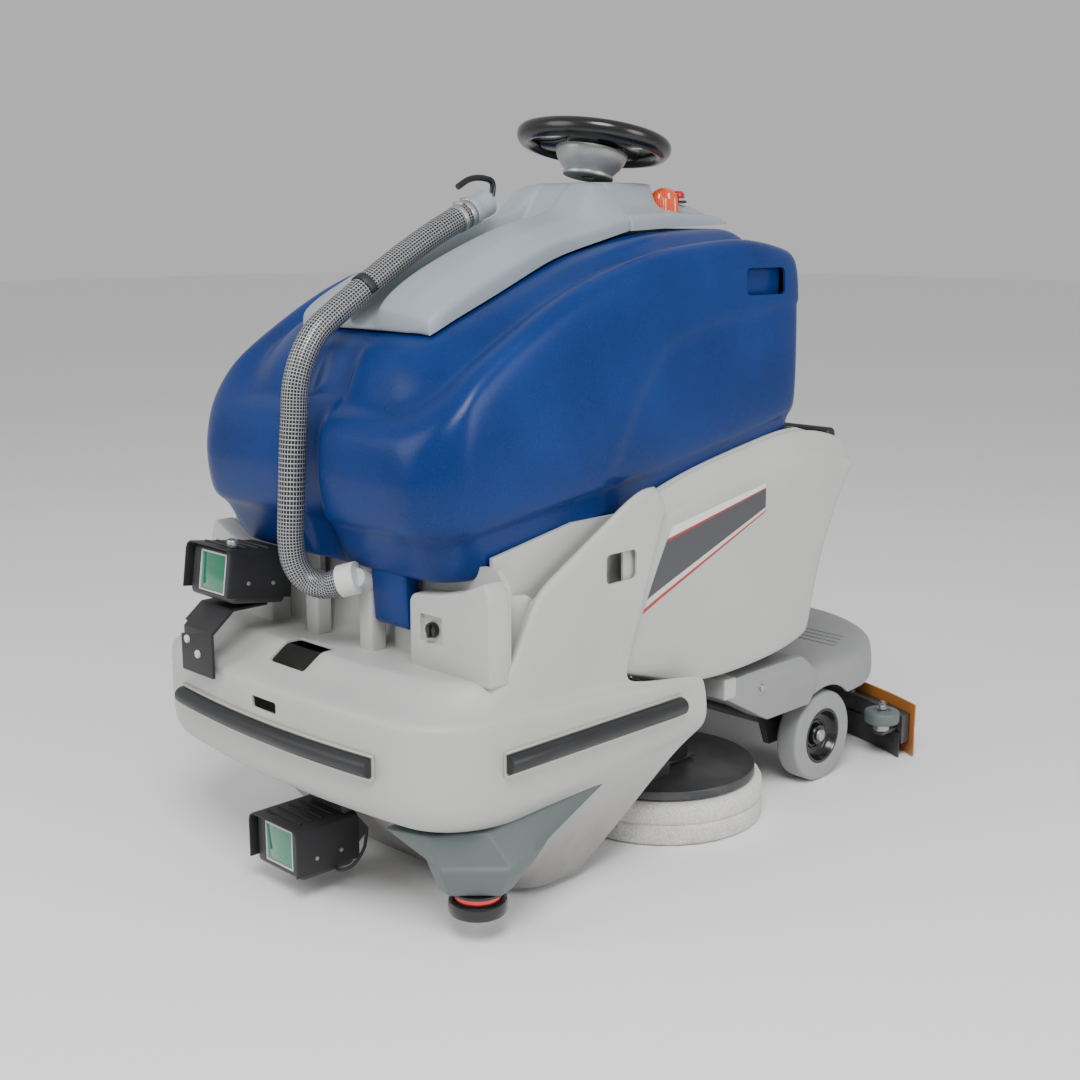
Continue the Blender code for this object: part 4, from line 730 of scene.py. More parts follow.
def finishes():
    """Every finish by its slot's name, made once."""
    if bpy.data.materials.get("scrubber_body_grey"):
        return {m["finish"]: m for m in bpy.data.materials if "finish" in m}
    look = colours()
    made = {
        "tank_blue": tank_blue(),
        "hose_braid": braided("hose_braid"),
        "white_pad": fibre_pad("white_pad", (0.900, 0.890, 0.860)),
        "rail_metal": brushed("rail_metal", (0.680, 0.660, 0.600), 0.36, 0.55),
        "satin_steel": brushed("satin_steel", (0.500, 0.505, 0.500), 0.40, 0.88),
        # The camera window and the scanner slot glow with painted light
        "green_window": glowing("green_window", (0.010, 0.150, 0.078), (0.010, 0.200, 0.100), 0.35, 0.06),
        "orange_lens": glowing("orange_lens", tuple(look.beacon), (0.90, 0.12, 0.01), 0.22, 0.16),
        "red_glow": glowing("red_glow", (0.300, 0.004, 0.004), (0.90, 0.02, 0.01), 0.9, 0.10),
        # The grey bodies darken to a dark brown-grey below 0.235 m: dust, and painted shade on the skirt
        "body_light_grey": moulded("scrubber_body_grey", tuple(look.body), 0.42, 750.0, 0.00018, 0.035,
                                   dust=0.95, dust_top=0.235, scuff=0.05, even=0.75,
                                   dust_and_painted_shade_colour=(0.150, 0.140, 0.130)),
    }
    # Colour, roughness, grain per metre, depth of the grain, change of shade, and what else the finish has
    moulded_ones = {
        "lid_cool_grey": (tuple(look.lid), 0.42, 800.0, 0.00020, 0.04, {"scuff": 0.06}),
        "platform_grey": (tuple(look.platform), 0.52, 520.0, 0.00030, 0.06,
                          {"dust": 0.35, "dust_top": 0.30, "scuff": 0.20}),
        "gloss_black": ((0.006, 0.006, 0.007), 0.26, 300.0, 0.00005, 0.05, {"coat": 0.2}),
        "matte_black": ((0.016, 0.016, 0.018), 0.50, 700.0, 0.00020, 0.12, {"scuff": 0.08}),
        "black_rubber": ((0.014, 0.015, 0.017), 0.44, 500.0, 0.00020, 0.10, {"dust": 0.20, "dust_top": 0.36}),
        "grey_tyre": ((0.300, 0.303, 0.310), 0.62, 420.0, 0.00035, 0.08,
                      {"dust": 0.55, "dust_top": 0.10, "scuff": 0.15}),
        "frame_steel": ((0.050, 0.051, 0.055), 0.38, 240.0, 0.00030, 0.15,
                        {"dust": 0.45, "dust_top": 0.16, "scuff": 0.30, "metallic": 0.35}),
        "charcoal_housing": ((0.030, 0.031, 0.034), 0.46, 650.0, 0.00022, 0.10, {"scuff": 0.05}),
        "scanner_grey": ((0.105, 0.132, 0.129), 0.46, 600.0, 0.00022, 0.05,
                         {"dust": 0.15, "dust_top": 0.16, "scuff": 0.05}),
        "scanner_black": ((0.008, 0.008, 0.009), 0.20, 300.0, 0.00008, 0.08, {"coat": 0.3}),
        "amber_rubber": (tuple(look.blade), 0.38, 260.0, 0.00030, 0.14, {"dust": 0.25, "dust_top": 0.10}),
        "button_red": ((0.480, 0.012, 0.010), 0.30, 300.0, 0.00006, 0.05, {"coat": 0.3}),
        "button_green": ((0.020, 0.250, 0.045), 0.30, 300.0, 0.00006, 0.05, {"coat": 0.3}),
        "screen_black": ((0.008, 0.010, 0.014), 0.09, 300.0, 0.00002, 0.20, {"coat": 1.0}),
        "pale_plastic": ((0.600, 0.600, 0.585), 0.40, 500.0, 0.00015, 0.05, {}),
    }
    for finish_name, (*values, rest) in moulded_ones.items():
        made[finish_name] = moulded(finish_name, *values, **rest)
    red_line = (0.40, 0.030, 0.030)
    bands = ((0.0, 0.055, red_line), (0.055, 0.15, (0.62, 0.60, 0.53)), (0.80, 0.84, red_line),
             (0.84, 1.0, (0.70, 0.70, 0.68)))
    made["decal"] = printed("decal_print", bands, (0.060, 0.062, 0.068))
    for finish_name, one in made.items():
        one["finish"] = finish_name
    return made


# ---- shells

def rim_height(y):
    """The height of the side walls' top edge."""
    return along(RIM, y)


def shelf_inset(y):
    """How far the side walls stand in from the belt."""
    return along(SHELF_INSET, y)


def front_shell():
    """The nose: skirt, belt, soft shoulder up to the ledge, side walls and the wall behind the ledge."""
    rows = []
    # half width, nose Y, rear Y, corner, height at the nose, height at the rear
    lower = ((0.345, -0.445, -0.260, 0.080, 0.016, 0.016), (0.346, -0.447, -0.258, 0.080, 0.022, 0.024),
             (0.375, -0.515, -0.170, 0.090, 0.100, 0.110), (0.404, -0.600, -0.060, 0.100, 0.190, 0.220),
             (0.414, -0.655, -0.010, 0.112, 0.199, 0.246), (0.424, -0.694, -0.003, 0.120, 0.213, 0.260),
             (0.4292, -0.716, 0.0, NOSE_CORNER, 0.238, 0.278),
             (BELT_HALF, NOSE_Y, 0.0, NOSE_CORNER, 0.270, 0.296),
             (BELT_HALF, NOSE_Y, -0.003, NOSE_CORNER, 0.330, 0.324))
    for half_width, nose, rear, corner, front_z, rear_z in lower:
        line = ((nose + NOSE_BOW, front_z), (rear, rear_z))
        rows.append(wrap(half_width, nose, NOSE_BOW, corner, rear, lambda x, y: along(line, y)))
    # half width, nose Y, rear Y, share of the shelf's inset, lift over the belt's top, share of the way up
    # to the rim
    upper = ((0.4300, NOSE_Y, -0.010, 0.0, -0.014, 0.0), (0.4294, -0.7205, -0.014, 0.0, -0.004, 0.0),
             (0.4262, -0.7150, -0.030, 0.10, 0.004, 0.0), (0.4215, -0.7050, -0.190, 0.82, 0.009, 0.0),
             (0.4195, -0.6940, -0.204, 1.0, 0.013, 0.020), (0.4185, -0.6800, -0.202, 1.0, 0.016, 0.090),
             (0.4180, -0.6620, -0.166, 1.0, 0.016, 0.340), (0.4170, -0.6440, -0.128, 1.0, 0.016, 0.680),
             (0.4155, -0.6300, -0.098, 1.0, 0.016, 0.930), (0.4120, -0.6230, -0.092, 1.0, 0.016, 0.990),
             (0.4040, -0.6180, -0.100, 0.8, 0.016, 1.005))
    for half_width, nose, rear, share, lift, rise in upper:
        rows.append(wrap(half_width, nose, NOSE_BOW, NOSE_CORNER, rear, lambda x,
                         y: between(along(BELT_TOP, y) + lift, rim_height(y), rise),
                         lambda y: shelf_inset(y) * share))
    rows.append(wrap(0.390, -0.560, 0.012, 0.080, -0.112, lambda x, y: rim_height(y - 0.004) - 0.001,
                     lambda y: shelf_inset(y) * 0.4))
    for half_width, front, drop, top in ((0.386, -0.505, 0.006, None), (0.382, -0.496, 0.020, 0.470),
                                         (0.380, -0.480, 0.034, 0.585)):
        rows.append(wrap(half_width, front, 0.010, 0.060, -0.120, lambda x,
                         y: top if top and y < front + 0.060 else rim_height(y - 0.02) - drop))
    shell = walled(smooth(drawn_out("front_shell", rows)), sizes().body_wall)
    tools = [block("ledge_hole", (-0.062, -0.668, LEDGE_Z - 0.03), (0.046, -0.590, LEDGE_Z + 0.03), 0.005),
             block("nose_slot", (-0.036, NOSE_Y - 0.03, 0.357), (0.036, NOSE_Y + 0.04, 0.379), 0.004)]
    for side in (-1, 1):
        tools.append(block("side_hole", (side * 0.40 - 0.05, -0.258, 0.577),
                           (side * 0.40 + 0.05, -0.176, 0.631), 0.009))
    cut(shell, *tools)
    finish(rounded(shell, 0.0012, 2, 40), "body_light_grey", "body", ("front_body",))


def facing_plate(name, side, outline, near, far):
    """A plate that faces forwards, on one side of the machine."""
    return plate(f"{name}_{side}", [(side * x, z) for x, z in outline], near, far, "XZ")


def ear(side):
    """One of the two raised ears that locate the tank, with its recess and its turn-lock knob."""
    outline = [(0.205, 0.448), (0.410, 0.448), (0.412, 0.590), (0.398, 0.628), (0.340, 0.603), (0.285, 0.590)]
    outline += [(0.226 + 0.021 * math.cos(a), 0.561 + 0.022 * math.sin(a)) for a in (1.6, 2.0, 2.4, 2.8)]
    front, back = -0.552, -0.506
    body = rounded(facing_plate("ear", side, outline, front, back), 0.005, 3, 30)
    low, high = span(side, 0.235, 0.292)
    cut(body, block("recess", (low, -0.575, 0.500), (high, -0.544, 0.550), 0.003))
    post_outline = ((0.062, 0.448), (0.100, 0.448), (0.100, 0.572), (0.062, 0.566))
    post = rounded(facing_plate("ear_post", side, post_outline, front, back - 0.010), 0.006, 3)
    finish(post, "body_light_grey", "body")
    finish(body, "body_light_grey", "body")
    wall_outline = ((0.110, 0.450), (0.402, 0.450), (0.402, 0.612), (0.380, 0.640), (0.110, 0.640))
    finish(facing_plate("ear_backing", side, wall_outline, back, back + 0.012), "body_light_grey", "body")
    middle = (low + high) / 2
    knob = turned(f"turn_lock_{side}", ((0.0, 0.0), (0.013, 0.0), (0.0145, 0.004), (0.013, 0.010),
                                        (0.006, 0.012)), (middle, -0.5445, 0.524), (0, -1, 0), 32)
    bar = block("knob_bar", (middle - 0.0035, -0.561, 0.512), (middle + 0.0035, -0.554, 0.536), 0.0015)
    finish(joined(f"turn_lock_{side}", knob, bar), "gloss_black", "body")


def cradle(side):
    """The strip inside a side wall that the tank beds down beside."""
    rows = []
    for y in (-0.508, -0.470, -0.430, -0.380, -0.320, -0.260, -0.200, -0.150, -0.118):
        top = rim_height(y - 0.004) - 0.014
        inner, outer = 0.374, 0.4095 - shelf_inset(y)
        rows.append([(side * inner, y, top - 0.012), (side * (inner + 0.006), y, top),
                     (side * outer, y, top + 0.002), (side * outer, y, top - 0.050),
                     (side * inner, y, top - 0.050)])
    strip = drawn_out(f"tank_cradle_{side}", rows, closed=True, caps=(0, -1))
    finish(rounded(strip, 0.003, 2, 40), "body_light_grey", "body")
    panel = plate(f"cradle_panel_{side}", ((-0.494, 0.460), (-0.130, 0.560), (-0.130, 0.690), (-0.300, 0.690),
                                           (-0.494, 0.655)), *span(side, 0.350, 0.358), "YZ")
    finish(panel, "body_light_grey", "body")


def rear_shell():
    """Side panels and a leaning rear wall, with a chamfer along the top edge and a cover behind the tank."""
    rows = []
    # inset, rear Y, share of the height from the bottom edge to the top
    levels = ((0.020, 0.414, -0.002), (0.012, 0.420, 0.0), (0.003, 0.427, 0.012), (0.001, 0.430, 0.035),
              (0.0, 0.440, 0.15), (0.0, 0.468, 0.38), (0.0, 0.512, 0.60), (0.001, 0.552, 0.78),
              (0.002, 0.575, 0.865), (0.004, 0.583, 0.885), (0.016, 0.586, 0.905), (0.026, 0.583, 0.975),
              (0.030, 0.576, 0.992))
    for inset, rear, share in levels:
        rows.append(wrap(0.390 - inset, rear, 0.010, 0.050, -0.200, lambda x,
                         y: between(along(REAR_BOTTOM, y), along(REAR_TOP, y), share)))
    rows.append(wrap(0.352, 0.560, 0.010, 0.050, -0.200, lambda x, y: along(REAR_TOP, y) - 0.004))
    rows.append(wrap(0.352, 0.400, 0.004, 0.040, -0.200, lambda x, y: min(along(REAR_TOP, y), 0.800)))
    shell = walled(smooth(drawn_out("rear_shell", rows)), sizes().body_wall)
    finish(shell, "body_light_grey", "body", ("rear_body",))


def decals():
    """A bare printed panel on each side of the rear body, standing a hair off it."""
    columns, steps = 24, 8
    for side in (-1, 1):
        rows = []
        for step in range(steps + 1):
            up = step / steps
            row = []
            for column in range(columns + 1):
                share = column / columns
                y = between(between(-0.146, -0.064, up), 0.224, share)
                low = along(((-0.148, 0.500), (-0.100, 0.520), (0.224, 0.645)), y)
                high = along(((-0.15, 0.640), (-0.066, 0.655), (0.224, 0.703)), y)
                z = between(low, high, up)
                row.append((side * 0.3912, y, z))
            rows.append(row)
        panel = drawn_out(f"decal_{side}", rows)
        pick(panel)
        panel.data.transform(Matrix.Translation((0, DATUM_Y, 0)))
        wrap_on = panel.modifiers.new("wrap", "SHRINKWRAP")
        wrap_on.target = bpy.data.objects["rear_shell"]
        wrap_on.wrap_method = "PROJECT"
        wrap_on.use_project_x = True
        wrap_on.use_negative_direction = True
        wrap_on.use_positive_direction = True
        wrap_on.project_limit = 0.03
        wrap_on.offset = 0.0006
        bpy.ops.object.modifier_apply(modifier="wrap")
        mesh = bmesh.new()
        mesh.from_mesh(panel.data)
        if sum(face.normal.x for face in mesh.faces) * side < 0:
            bmesh.ops.reverse_faces(mesh, faces=mesh.faces)
        mesh.to_mesh(panel.data)
        mesh.free()
        panel.data.transform(Matrix.Translation((0, -DATUM_Y, 0)))
        finish(panel, "decal", "body")


# ---- tank, lid, console

def tank_row(inset, front, rear, groove, height):
    """A closed row round the tank, with the hose's groove in its front."""
    half_width = TANK_HALF - inset
    corner = min(0.100, half_width / 2)
    flat = half_width - corner
    inner = min(0.050, half_width / 3)
    plan = [(0.0, front + groove), (inner * 0.55, front + groove), (inner * 0.82, front + groove * 0.75),
            (inner, front + groove * 0.2), (inner * 1.15, front), (between(inner * 1.15, flat, 0.55), front)]
    for step in range(7):
        angle = math.radians(15 * step)
        plan.append((flat + corner * math.sin(angle), front + corner * (1 - math.cos(angle))))
    start, end = front + corner, rear - corner * 0.4
    plan += [(half_width, between(start, end, share)) for share in (0.1, 0.25, 0.4, 0.55, 0.7, 0.85, 1)]
    plan += [(half_width - corner * 0.12, rear - corner * 0.12), (half_width - corner * 0.4, rear),
             (flat / 2, rear), (0.0, rear)]
    return closed_row([(x, y, height(x, y)) for x, y in plan])


def tank_shell():
    """The rotomoulded tank: a dome round the lid, a valley along each shoulder, a recessed panel in each
    flank."""
    top, side, bottom = (RIDGE, SHOULDER), (TANK_BELLY, SHOULDER), (TANK_FLOOR, TANK_FLOOR)
    # inset, front, rear, groove, the two lines that a row lies between, its share of the way, its rise
    table = (
        (0.220, -0.443, 0.020, 0.0, top, 0.0, -0.012), (0.218, -0.447, 0.024, 0.0, top, 0.0, -0.003),
        (0.206, -0.462, 0.070, 0.001, top, 0.0, -0.001), (0.172, -0.498, 0.270, 0.004, top, 0.0, -0.001),
        (0.140, -0.522, 0.320, 0.010, top, 0.10, 0.0), (0.112, -0.546, 0.340, 0.016, top, 0.50, -0.012),
        (0.092, -0.562, 0.350, 0.020, top, 0.90, -0.017), (0.072, -0.576, 0.356, 0.022, top, 1.0, -0.008),
        (0.046, -0.598, 0.366, 0.024, top, 1.0, 0.001), (0.026, -0.614, 0.372, 0.024, top, 1.0, -0.003),
        (0.013, -0.623, 0.377, 0.024, top, 1.0, -0.018),
        (0.006, -0.627, TANK_REAR_Y, 0.024, top, 1.0, -0.055),
        (0.002, TANK_FRONT_Y, TANK_REAR_Y, 0.024, side, 0.5, 0.0),
        (0.001, -0.623, TANK_REAR_Y, 0.024, side, 0.2, 0.0),
        (0.003, -0.616, TANK_REAR_Y, 0.024, side, 0.0, 0.0), (0.010, -0.606, 0.377, 0.020, side, 0.0, -0.012),
        (0.020, -0.594, 0.373, 0.016, side, 0.0, -0.024), (0.024, -0.568, 0.360, 0.008, bottom, 0.0, 0.022),
        (0.034, -0.556, 0.345, 0.002, bottom, 0.0, 0.004), (0.060, -0.530, 0.320, 0.0, bottom, 0.0, 0.001),
    )
    rows = []
    for inset, front, rear, groove, (first, second), share, rise in table:
        rows.append(tank_row(inset, front, rear, groove, lambda x,
                             y: between(along(first, y), along(second, y), share) + rise))
    levels = sizes().smoothing + 1
    shell = smooth(drawn_out("tank_shell", rows, closed=True, caps=(-1,)), levels)
    recess_flanks(shell)
    walled(shell, 0.005)
    pockets = [block("pocket", (side * 0.372 - 0.030, 0.176, 1.072), (side * 0.372 + 0.030, 0.302, 1.124),
                     0.010, 3)
               for side in (-1, 1)]
    cut(shell, *pockets)
    for side in (-1, 1):
        low, high = span(side, 0.340, 0.346)
        cup = block(f"handle_cup_{side}", (low, 0.172, 1.068), (high, 0.306, 1.128), 0.002)
        finish(cup, "tank_blue", "body")
    finish(shell, "tank_blue", "body", ("recovery_tank",), 50)
    outline = ((-0.552, 0.642), (-0.556, 0.600), (-0.550, 0.515), (-0.538, 0.506), (-0.526, 0.512),
               (-0.515, 0.642))
    tongue = rounded(plate("tank_tongue", outline, 0.105, 0.198, "YZ"), 0.008, 3, 20)
    finish(tongue, "tank_blue", "body")


def recess_flanks(shell):
    """Presses the panel behind the arch into each flank."""
    depth = 0.0045
    for vert in shell.data.vertices:
        x, y, z = vert.co
        if abs(x) < 0.300 or y < PANEL_ARCH[0][0] or y > 0.375:
            continue
        arch = along(PANEL_ARCH, y)
        inside = ease(0.0, 0.012, arch - z) * ease(0.300, 0.350, abs(x))
        vert.co.x -= math.copysign(depth * inside, x)


def cover_row(y, half_width, base, edge, crease_x, crease, crown, channel):
    """A section of the lid: a channel for the hose, a lobe, a crease and a rolled side edge."""
    half = [(0.0, y, channel), (0.030, y, channel), (0.036, y, between(channel, crown, 0.12)),
            (0.041, y, between(channel, crown, 0.88)), (0.046, y, crown),
            (0.062, y, between(crown, crease, 0.15)), (crease_x - 0.014, y, between(crown, crease, 0.9)),
            (crease_x, y, crease - 0.001), (crease_x + 0.010, y, between(crease, edge, 0.25)),
            (half_width - 0.014, y, between(crease, edge, 0.9)), (half_width - 0.003, y, edge - 0.003),
            (half_width, y, between(base, edge, 0.62)), (half_width, y, base)]
    return mirrored_row(half)


def lid_shell():
    """The lid's two lobes beside the hose channel, rising to the block under the steering column."""
    rows = []
    # Y, half width, then heights above the tank's ridge: side edge, crease, crown, channel
    stations = ((LID_FRONT_Y + 0.003, 0.176, 0.0050, 0.0051, 0.0052, 0.0050),
                (LID_FRONT_Y, 0.180, 0.010, 0.0102, 0.0104, 0.008),
                (LID_FRONT_Y, 0.182, 0.030, 0.038, 0.042, 0.012),
                (LID_FRONT_Y + 0.004, 0.184, 0.034, 0.046, 0.050, 0.014),
                (-0.455, 0.187, 0.038, 0.056, 0.060, 0.015), (-0.420, 0.188, 0.041, 0.062, 0.067, 0.017),
                (-0.380, 0.188, 0.043, 0.066, 0.072, 0.020), (-0.310, 0.186, 0.043, 0.068, 0.075, 0.022),
                (-0.250, 0.182, 0.042, 0.067, 0.073, 0.024), (-0.180, 0.176, 0.040, 0.063, 0.070, 0.026),
                (-0.120, 0.168, 0.037, 0.058, 0.067, 0.028), (-0.062, 0.168, 0.034, 0.054, 0.066, 0.034),
                (-0.048, 0.168, 0.034, 0.055, 0.068, 0.036))
    for y, half_width, edge, crease, crown, channel in stations:
        height = along(RIDGE, y)
        rows.append(cover_row(y, half_width, height + 0.004, height + edge, half_width * 0.68,
                              height + crease, height + crown, height + channel))
    for y, rise in ((-0.030, 0.16), (-0.006, 0.60), (0.014, 0.90), (0.030, 0.99), (0.050, 1.0),
                    (LID_REAR_Y, 0.98)):
        height = along(RIDGE, y)
        rows.append(cover_row(y, CONSOLE_HALF, height + 0.004, height + 0.034, between(0.115, 0.100, rise),
                              between(height + 0.054, PLATEAU_Z - 0.004, rise),
                              between(height + 0.066, PLATEAU_Z - 0.001, rise),
                              between(height + 0.034, PLATEAU_Z - 0.001, rise)))
    shell = walled(smooth(drawn_out("lid_shell", rows)), sizes().lid_wall)
    finish(shell, "lid_cool_grey", "lid", ("lid",), 50)
    gasket = [(x, y, along(RIDGE, y) + 0.0035) for x, y in lid_edge(0.150)]
    finish(tube("lid_gasket", [*gasket, gasket[0]], 0.0028, 8, 1), "matte_black", "lid")
    for x in (-0.100, 0.100):
        knuckle = rod(f"hinge_{x}", (x - 0.024, -0.482, 0.9985), (x + 0.024, -0.482, 0.9985), 0.0050,
                      round_by=0.0008)
        leaf = block("leaf", (x - 0.022, -0.486, 0.994), (x + 0.022, -0.470, 0.998), 0.001)
        finish(joined(f"lid_hinge_{x}", knuckle, leaf), "satin_steel", "body")


def lid_edge(half_width):
    """The lid's outline as (x, y), a little inside its edge."""
    front, rear = LID_FRONT_Y + 0.010, LID_REAR_Y - 0.008
    right = [(0.05, front), (half_width - 0.02, front), (half_width - 0.004, front + 0.012),
             (half_width, front + 0.05)]
    right += [(half_width, between(front, rear, share)) for share in (0.3, 0.5, 0.7, 0.9)]
    right += [(half_width, rear), (0.05, rear)]
    return right + [(-x, y) for x, y in reversed(right)]


def console_shell():
    """The console: the plateau under the steering column, then the step down to the dash."""
    rows = []
    # Y, height of the middle, of the side edge above the ridge
    stations = ((0.056, PLATEAU_Z - 0.002, 0.034), (0.058, PLATEAU_Z, 0.034), (0.130, PLATEAU_Z, 0.034),
                (0.200, PLATEAU_Z, 0.033), (0.212, PLATEAU_Z - 0.004, 0.032), (0.226, 1.264, 0.029),
                (0.236, 1.256, 0.028), (0.330, 1.246, 0.022), (0.358, 1.238, 0.014),
                (CONSOLE_REAR_Y, 1.222, 0.006))
    for y, middle, edge in stations:
        height = along(RIDGE, y)
        half = [(0.0, y, middle), (0.050, y, middle), (0.088, y, middle - 0.0005),
                (PLATEAU_HALF, y, middle - 0.004), (0.108, y, between(height + edge, middle, 0.55)),
                (0.122, y, between(height + edge, middle, 0.14)), (0.156, y, height + edge + 0.002),
                (0.166, y, height + edge - 0.004), (CONSOLE_HALF, y, height + 0.004)]
        rows.append(mirrored_row(half))
    shell = walled(smooth(drawn_out("console_shell", rows, caps=(0, -1))), sizes().lid_wall)
    holes = [rod("button_hole", (x, BUTTON_Y, 1.20), (x, BUTTON_Y, 1.28), 0.009)
             for x in (-BUTTON_X, BUTTON_X)]
    holes.append(rod("beacon_hole", (*BEACON_PLACE[:2], 1.18), (*BEACON_PLACE[:2], 1.30), 0.032, segments=48))
    cut(shell, *holes)
    finish(shell, "lid_cool_grey", "body", ("console",), 50)
    for side, name in ((1, "stop"), (-1, "start")):
        collar = turned(f"{name}_collar", ((0.010, 0.0), (0.024, 0.0), (0.023, 0.004), (0.010, 0.005)),
                        (side * BUTTON_X, BUTTON_Y, 1.250), (0, -0.10, 1), 40, hollow=True)
        finish(collar, "matte_black", "body")
    box_piece = block("dash_box", (-0.062, 0.246, 1.243), (0.062, 0.334, 1.2557), 0.005, 3)
    finish(box_piece, "pale_plastic", "body")
    screen = block("screen", (-0.050, 0.258, 1.2557), (0.050, 0.322, 1.2620), 0.002)
    finish(screen, "screen_black", "body", ("display",))


# ---- bumpers

def bumper_pieces():
    """Three aluminium channels with half-round rubber in them."""
    up = Vector((0, 0, 1))
    rail = ((0.0, -0.022), (0.0078, -0.022), (0.0080, -0.0195), (0.0050, -0.0185), (0.0050, 0.0185),
            (0.0080, 0.0195), (0.0078, 0.022), (0.0, 0.022))
    strip = [(0.0054, -0.0165), (0.0085, -0.0162)]
    strip += [(0.0085 + 0.0155 * math.sin(a), -0.0160 * math.cos(a))
              for a in (math.pi * step / 12 for step in range(1, 12))]
    strip += [(0.0085, 0.0162), (0.0054, 0.0165)]
    paths = {"front": [], "left": [], "right": []}
    for step in range(25):
        x = between(-0.290, 0.290, step / 24)
        slope = NOSE_BOW * 2 * x / 0.310**2
        paths["front"].append((Vector((x, NOSE_Y - 0.0003 + NOSE_BOW * (x / 0.310) ** 2, BUMPER_Z)),
                               Vector((slope, -1, 0)).normalized()))
    for side, name in ((1, "left"), (-1, "right")):
        for step in range(5):
            y = between(-0.541, -0.080, step / 4)
            paths[name].append((Vector((side * (BELT_HALF + 0.0003), y, BUMPER_Z)), Vector((side, 0, 0))))
    for name, path in paths.items():
        for part, section, look in (("rail", rail, "rail_metal"), ("strip", strip, "black_rubber")):
            points = list(path)
            if part == "strip":
                first, last = points[0][0], points[-1][0]
                way = (last - first).normalized() * 0.003
                points[0] = (first + way, points[0][1])
                points[-1] = (last - way, points[-1][1])
            rows = [[centre + out * forward + up * rise for forward, rise in section]
                    for centre, out in points]
            piece = drawn_out(f"{name}_bumper_{part}_piece", rows, closed=True, caps=(0, -1))
            rounded(piece, 0.0006, 2, 50)
            finish(piece, look, "body", (f"{name}_bumper_{part}",))


# ---- cameras and scanner

def camera_pieces(name, place, tilt):
    """A ribbed housing with a green window, under a bent black sheet that is screwed to its sides."""
    x, y, z = place
    width, depth, height = 0.148, 0.120, 0.100
    window_width, window_height = 0.078, 0.070
    turn = Matrix.Translation(place) @ Matrix.Rotation(tilt, 4, "X") @ Matrix.Translation(-Vector(place))

    def around(name, half_width, near, far, low, high, round_by=0.0):
        """A block that is centred across the camera."""
        return block(name, (x - half_width, y + near, z + low), (x + half_width, y + far, z + high), round_by)

    def pane(name, margin, near, far, round_by=0.0):
        """A block over the window, wider than it by a margin."""
        up = window_height / 2 + margin
        return around(name, window_width / 2 + margin, near, far, -up, up, round_by)

    body = around("housing", width / 2 - 0.003, 0.0, depth, -height / 2, height / 2 - 0.003)
    rounded(body, 0.010, 3)
    cut(body, pane("window_seat", 0.004, -0.01, 0.005, 0.003))
    foot = -height / 2
    ribs = [around("rib", width / 2 - 0.020, near, near + 0.006, foot - 0.001, foot + 0.004, 0.001)
            for near in (0.020, 0.040, 0.060, 0.080)]
    body = joined(f"{name}_body", body, *ribs)
    frame_ring = pane("window_frame", 0.0035, 0.0005, 0.0045, 0.0015)
    cut(frame_ring, pane("opening", 0.0, -0.01, 0.01))
    # The window's finish gives it a painted green glow
    window = pane(f"{name}_glass", 0.0, 0.0025, 0.0050, 0.0008)
    half, top, low = width / 2, z + height / 2 + 0.001, z - height / 2 + 0.012
    line = [(half, low), (half, top - 0.016), (half - 0.003, top - 0.006), (half - 0.012, top),
            (0.0, top + 0.0005)]
    line += [(-across, up) for across, up in reversed(line[:-1])]
    rows = [[(x + across, y + back, up) for across, up in line]
            for back in (-0.014, -0.006, 0.030, 0.080, depth + 0.008)]
    hood = walled(drawn_out(f"{name}_hood", rows), 0.003)
    rounded(hood, 0.0008, 2, 40)
    hood_ribs = [around("hood_rib", half - 0.022, near, near + 0.006, height / 2, height / 2 + 0.004, 0.0012)
                 for near in (0.012, 0.036, 0.060, 0.084)]
    hood = joined(f"{name}_hood", hood, *hood_ribs)
    screws = []
    for side in (-1, 1):
        for step in (0, 1):
            place = (x + side * (half - 0.001), y + 0.030 + 0.055 * step, z - 0.010)
            screws.append(bolt(f"{name}_screw_{side}_{step}", place, (side, 0, 0), 0.0042, 0.003))
    screws = joined(f"{name}_screws", *screws)
    pieces = ((body, "charcoal_housing", "charcoal_housing", (name,)), (frame_ring, "pale_plastic", None, ()),
              (window, "green_window", "green_window", (f"{name}_window",)),
              (hood, "matte_black", "matte_black", ()), (screws, "satin_steel", None, ()))
    for piece, look, slot, nodes in pieces:
        piece.data.transform(turn)
        finish(piece, look, "body", nodes)


